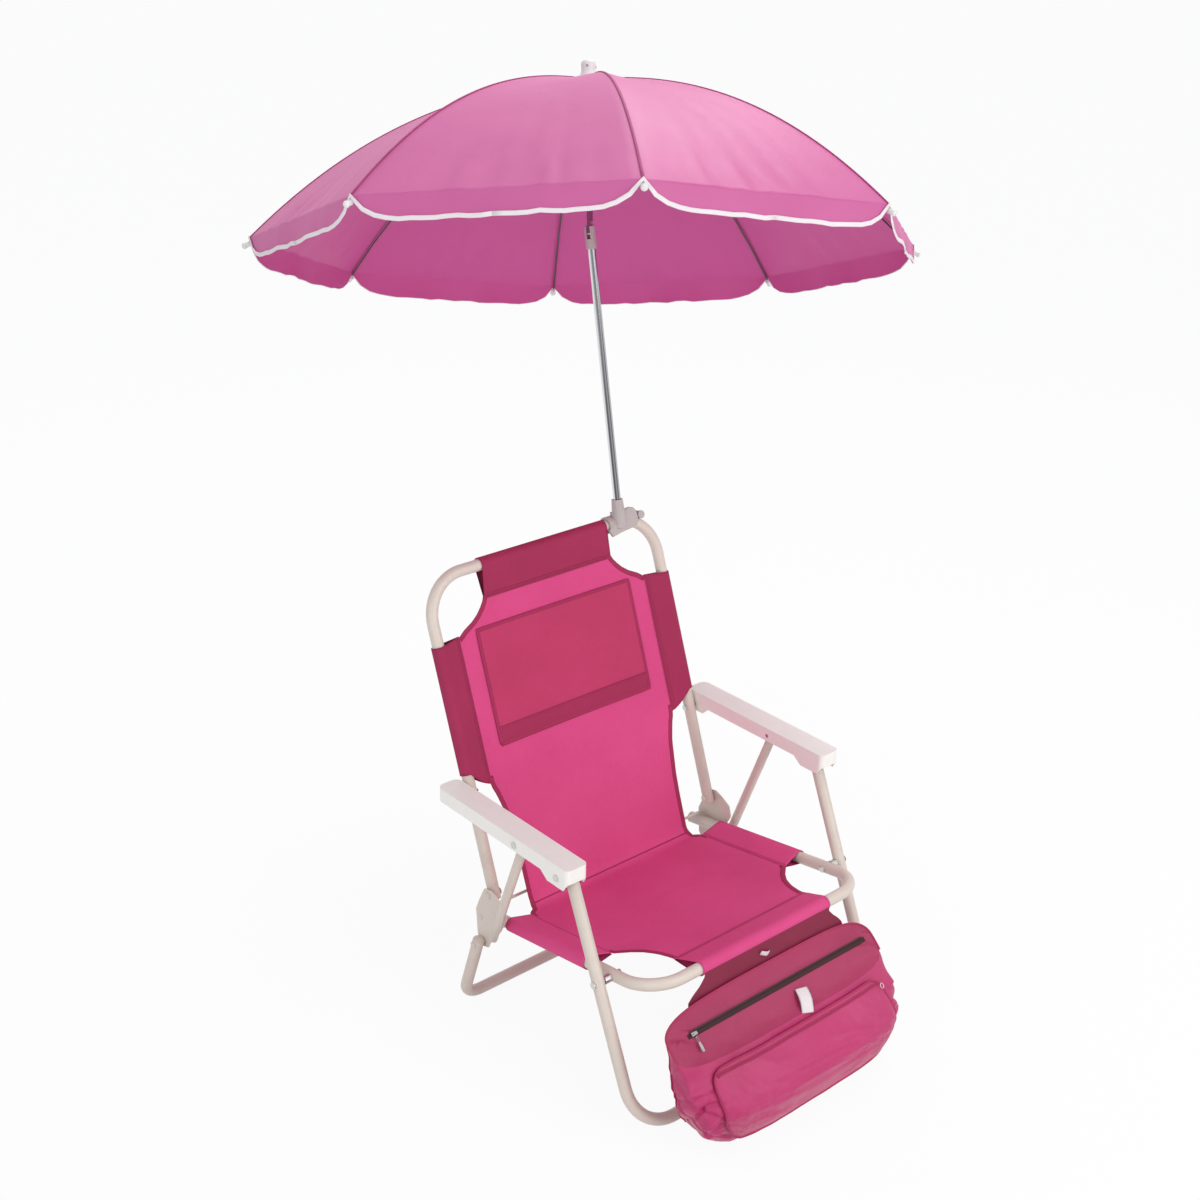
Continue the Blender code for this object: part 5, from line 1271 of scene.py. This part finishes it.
# Zip: band, teeth, slider and pull
ZIP_COLUMNS = 120
ZIP_WAVES = (0.0003, 71.0, 4.0)
ZIP_BAND = (0.0084, 0.0016)
TOOTH_STEP = 0.0026
TOOTH_MARGIN = 0.006
TOOTH_SIDE = ((0.0204, -0.0002), (0.0222, -0.0002), (0.0222, 0.0014), (0.0204, 0.0014))
TOOTH_PLACES = [(dx, forward, lift) for dx in (-0.0008, 0.0008) for forward, lift in TOOTH_SIDE]
TOOTH_FACES = [(0, 1, 2, 3), (7, 6, 5, 4), (1, 5, 6, 2), (2, 6, 7, 3), (3, 7, 4, 0), (0, 4, 5, 1)]
SLIDER_X = BAG_X - ZIP_REACH + 0.0110
SLIDER_PLATE = [(-0.0055, -0.0030), (0.0055, -0.0026), (0.0055, 0.0026), (-0.0055, 0.0030)]
SLIDER_BRIDGE = [(-0.0032, -0.0009), (0.0034, -0.0009), (0.0034, 0.0009), (-0.0032, 0.0009)]
# Outlines of the pull's two bars, its top and its grip, as (across, along)
PULL_PARTS = [[(-0.0020, 0.0), (-0.0011, 0.0), (-0.0011, 0.0085), (-0.0020, 0.0085)],
              [(0.0011, 0.0), (0.0020, 0.0), (0.0020, 0.0085), (0.0011, 0.0085)],
              [(-0.0020, 0.0), (0.0020, 0.0), (0.0020, 0.0012), (-0.0020, 0.0012)],
              [(-0.0020, 0.0085), (0.0020, 0.0085), (0.0026, 0.0150), (0.0024, 0.0225),
               (0.0012, 0.0240), (-0.0012, 0.0240), (-0.0024, 0.0225), (-0.0026, 0.0150)]]


def build_zip():
    path = []
    for i, x in enumerate(steps(BAG_X - ZIP_REACH, BAG_X + ZIP_REACH, ZIP_COLUMNS)):
        path.append(mouth_point(x, ZIP_MIDDLE, -0.0010 + waver(i * 0.02, 0.0, ZIP_WAVES)))
    tape = cord_along("zip_band", path, [MOUTH_NORMAL] * len(path), ZIP_BAND, ZIP_CLOTH)
    verts = []
    faces = []
    start = BAG_X - ZIP_REACH + TOOTH_MARGIN
    span = 2.0 * (ZIP_REACH - TOOTH_MARGIN)
    for x in steps(start, start + span, int(span / TOOTH_STEP) - 1):
        faces += [tuple(len(verts) + corner for corner in face) for face in TOOTH_FACES]
        verts += [mouth_point(x + dx, forward, lift) for dx, forward, lift in TOOTH_PLACES]
    teeth = make_mesh("zip_teeth", verts, faces, [ZIP_TOOTH], soft=False)
    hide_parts("zip_tape")
    return tape, teeth


def zip_block(name, outline, low, high, at, body):
    """A steel plate between two heights over the mouth, with fine rounded edges."""
    verts = [at + X_DIR * across + MOUTH_DOWN * along + MOUTH_NORMAL * lift
             for lift in (low, high) for across, along in outline]
    obj = make_mesh(name, verts, tube_faces(2, len(outline)), [ZIP_STEEL], soft=False)
    bevel = obj.modifiers.new("edge", "BEVEL")
    bevel.width = 0.00035
    bevel.segments = 2
    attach(obj, body)
    return obj


def build_slider():
    """The moving slider's plate, roof and bridge, and its pull."""
    at = mouth_point(SLIDER_X, ZIP_MIDDLE, 0.0005)
    plate = zip_block("slider_body", SLIDER_PLATE, 0.0000, 0.0012, at, "zip_slider")
    zip_block("slider_roof", SLIDER_PLATE, 0.0018, 0.0028, at, "zip_slider")
    zip_block("slider_bridge", SLIDER_BRIDGE, 0.0012, 0.0040, at, "zip_slider")
    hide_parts("zip_slider")
    pull_at = mouth_point(SLIDER_X, 0.0286, 0.0026)
    parts = [zip_block("pull_part_%d" % k, outline, 0.0, 0.0012, pull_at, "zip_pull")
             for k, outline in enumerate(PULL_PARTS)]
    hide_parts("zip_pull")


# White loop and tag: places along the mouth and on the back panel, and sizes
LOOP_START = (0.0200, 0.0380)
LOOP_RUN = (-0.0110, 0.0275)
LOOP_RISE = 0.0045
LOOP_LIFT = 0.0008
LOOP_SIZE = (0.0215, 0.0012)
TAG_START = Vector((-0.0240, -0.4400, 0.2330))
TAG_RUN = Vector((0.0200, 0.0, -0.0084))
TAG_WAVE = 0.0030
TAG_SIZE = (0.0085, 0.0010)


def band_mesh(name, path, width_dir, size):
    """A flat white band along a path, with width_dir across it."""
    normals = []
    for index in range(len(path)):
        tangent = path[min(index + 1, len(path) - 1)] - path[max(index - 1, 0)]
        normals.append(tangent.normalized().cross(width_dir).normalized())
    return cord_along(name, path, normals, size, TAG_CLOTH, 8)


def build_loop_and_tag():
    """A blank white fabric loop on the front of the bag's top and a small blank tag on the back panel."""
    path = []
    for u in steps(0.0, 1.0, 20):
        x, forward = [start + run * u for start, run in zip(LOOP_START, LOOP_RUN)]
        path.append(mouth_point(x, forward, LOOP_RISE * arch(u) + LOOP_LIFT))
    loop = band_mesh("white_loop", path, Vector((1.0, -0.25, 0.0)).normalized(), LOOP_SIZE)
    path = []
    for u in steps(0.0, 1.0, 6):
        path.append(TAG_START + TAG_RUN * u - Vector((0.0, TAG_WAVE * math.sin(u * 3.6), 0.0)))
    tag = band_mesh("white_tag", path, Vector((0.0, -0.2, 1.0)), TAG_SIZE)
    return loop, tag


def build_bag():
    shell = build_bag_shell()
    front_top = top_panel("bag_front_top", 2.0 * math.pi, ZIP_FAR - 0.002, 41.0)
    rear_top = top_panel("bag_rear_top", 0.0, ZIP_NEAR + 0.002, 44.0)
    back = build_bag_back()
    piping = build_piping()
    pocket, trims = build_pocket()
    tape, teeth = build_zip()
    loop, tag = build_loop_and_tag()
    for piece in [shell, front_top, rear_top, back, pocket, tape, teeth, loop, tag] + piping + trims:
        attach(piece, "seat")
    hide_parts("bag")
    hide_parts("bag_pocket")
    build_slider()


# CAD nodes: those that stay as they are, and those that a new piece stands in for
ARM_BEVEL = 0.0045
CLAMP_BEVEL = 0.0008
CAP_BEVEL = 0.0006
PLATE_BEVEL = 0.0004
RIVET_BEVEL = 0.0003
RIVET_NAMES = ("arm_pivot_pin_", "link_rivet_", "front_rivet_", "leg_pivot_pin_")
CLAMP_NODES = ("clamp_body", "clamp_jaw", "clamp_screw", "tilt_knuckle")
CAP_NODES = ("crown_finial", "runner")
REPLACED_BAG = ("bag", "bag_pocket")
REPLACED_CLOTH = ("zip_tape", "zip_slider", "zip_pull", "canopy", "headrest_panel", "back_sling",
                  "seat_sling")
REPLACED_TUBES = ("back_frame", "seat_frame", "front_leg", "rear_leg", "link_left", "link_right")


def clean_node(name, mat, width=0.0, segments=2):
    """One material for a CAD node and, where a width is given, rounded edges."""
    obj = NODES[name]
    obj.data.materials.clear()
    obj.data.materials.append(mat)
    if width:
        bevel = obj.modifiers.new("edge", "BEVEL")
        bevel.width = width
        bevel.segments = segments
        bevel.limit_method = "ANGLE"
        bevel.angle_limit = math.radians(50.0)
        bevel.harden_normals = True


def build_hard_nodes():
    for label in ("left", "right"):
        clean_node("arm_" + label, ARM_PAINT, ARM_BEVEL, 4)
        clean_node("hinge_plate_" + label, FRAME_PAINT, PLATE_BEVEL)
        for name in RIVET_NAMES:
            clean_node(name + label, RIVET_STEEL, RIVET_BEVEL)
    clean_node("cross_rod", FRAME_PAINT)
    clean_node("lower_pole", CHROME)
    clean_node("upper_pole", UPPER_CHROME)
    for name in CLAMP_NODES:
        clean_node(name, CLAMP_PLASTIC, CLAMP_BEVEL)
    for name in CAP_NODES:
        clean_node(name, CAP_PLASTIC, CAP_BEVEL)
    for number in range(1, RIB_COUNT + 1):
        clean_node("rib_%d" % number, RIB_STEEL)
        clean_node("stretcher_%d" % number, RIB_STEEL)
        clean_node("rib_tip_%d" % number, CAP_PLASTIC, PLATE_BEVEL)
    for names, mat in ((REPLACED_BAG, BAG_CLOTH), (REPLACED_CLOTH, SLING_CLOTH),
                       (REPLACED_TUBES, FRAME_PAINT)):
        for name in names:
            clean_node(name, mat)


def node_corners(name):
    node = NODES[name]
    return [node.matrix_world @ vertex.co for vertex in node.data.vertices]


# Turned pieces. Each profile lists (height, radius) along its axis
FINIAL_PROFILE = [(-0.0278, 0.0158), (-0.0250, 0.0158), (-0.0225, 0.0146), (-0.0190, 0.0128),
                  (-0.0150, 0.0118), (-0.0110, 0.0117), (-0.0060, 0.0121), (-0.0022, 0.0119),
                  (0.0000, 0.0108), (0.0014, 0.0090), (0.0022, 0.0064), (0.0024, 0.0030), (0.0024, 0.0001)]
FINIAL_PIN_PROFILE = [(0.0, 0.0019), (0.0010, 0.0019), (0.0013, 0.0012)]
FINIAL_PIN_DROP = 0.0085
FINIAL_PIN_OUT = 0.0112
TIP_DOME_START = 0.0022
TIP_DOME_R = 0.0052
TIP_PROFILE = [(-0.0070, 0.0030), (-0.0066, 0.0040), (0.0010, 0.0040), (TIP_DOME_START, 0.0046)]
TIP_PROFILE += [(TIP_DOME_START + TIP_DOME_R * math.sin(turn), TIP_DOME_R * math.cos(turn))
                for turn in steps(0.0, math.pi / 2.0, 6)]
BUTTON_PROFILE = [(0.0, 0.0036), (0.0010, 0.0034), (0.0018, 0.0022), (0.0020, 0.0002)]


def build_finial():
    """The flared cap over the canopy's centre, set over the CAD's plain one, and its two pins."""
    top = max((corner - TILT_POINT).dot(CANOPY_DIR) for corner in node_corners("crown_finial"))
    start = TILT_POINT + CANOPY_DIR * top
    cap = lathe_mesh("finial_cap", start, CANOPY_DIR, FINIAL_PROFILE, CAP_PLASTIC, 32)
    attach(cap, "canopy_top")
    for number, turn in ((1, -1.0), (2, 1.0)):
        out = (CANOPY_X * 0.75 * turn - CANOPY_Y * 0.66).normalized()
        start = TILT_POINT + CANOPY_DIR * (top - FINIAL_PIN_DROP) + out * FINIAL_PIN_OUT
        pin = lathe_mesh("finial_pin_%d" % number, start, out, FINIAL_PIN_PROFILE, ZIP_STEEL, 14)
        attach(pin, "canopy_top")


def build_tip_caps():
    """A rounded white cap on each rib's end."""
    for index in range(RIB_COUNT):
        corners = node_corners("rib_tip_%d" % (index + 1))
        middle = sum(corners, Vector()) / len(corners)
        axis = canopy_radial(rib_angle(index)) - CANOPY_DIR * 0.42
        cap = lathe_mesh("tip_cap_%d" % (index + 1), middle, axis, TIP_PROFILE, CAP_PLASTIC, 20)
        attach(cap, "rib_%d" % (index + 1))


def build_crossbar_button():
    at = at_x(REAR_FLOOR, -0.0200) + Z_DIR * (TUBE_R - 0.0006)
    button = lathe_mesh("crossbar_button", at, Z_DIR, BUTTON_PROFILE, RIVET_STEEL, 20)
    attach(button, "rear_leg")


# The clamp's cheek: its outline over the back's top bar, and (height off the back, inset) for each level
CHEEK_OUTLINE = [(0.1380, -0.0200), (0.1312, -0.0080), (0.1415, -0.0017), (0.1500, 0.0060), (0.1595, 0.0130),
                 (0.1720, 0.0196), (0.1830, 0.0212), (0.1920, 0.0186), (0.1965, 0.0120), (0.1976, 0.0020),
                 (0.1962, -0.0080), (0.1875, -0.0138), (0.1582, -0.0164)]
CHEEK_LEVELS = ((0.0098, 0.0), (0.0138, 0.0), (0.0148, 0.0010))


def build_clamp_cheek():
    """The clamp's flat front cheek with a rounded edge."""
    outline = rounded([back_point(x, BACK_TOP_T + t) for x, t in CHEEK_OUTLINE], 0.0040, 4)
    middle = sum(outline, Vector()) / len(outline)
    verts = [point + (middle - point).normalized() * inset + BACK_NORMAL * off
             for off, inset in CHEEK_LEVELS for point in outline]
    faces = [face[::-1] for face in tube_faces(len(CHEEK_LEVELS), len(outline))]
    cheek = make_mesh("clamp_cheek", verts, faces, [CLAMP_PLASTIC], soft=False)
    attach(cheek, "back")


bpy.context.scene.view_settings.view_transform = "Standard"
build_camera()
build_world()
build_lights()
build_floor()
build_hard_nodes()
build_tubes()
build_sling()
build_canopy()
build_bag()
build_finial()
build_tip_caps()
build_clamp_cheek()
build_crossbar_button()
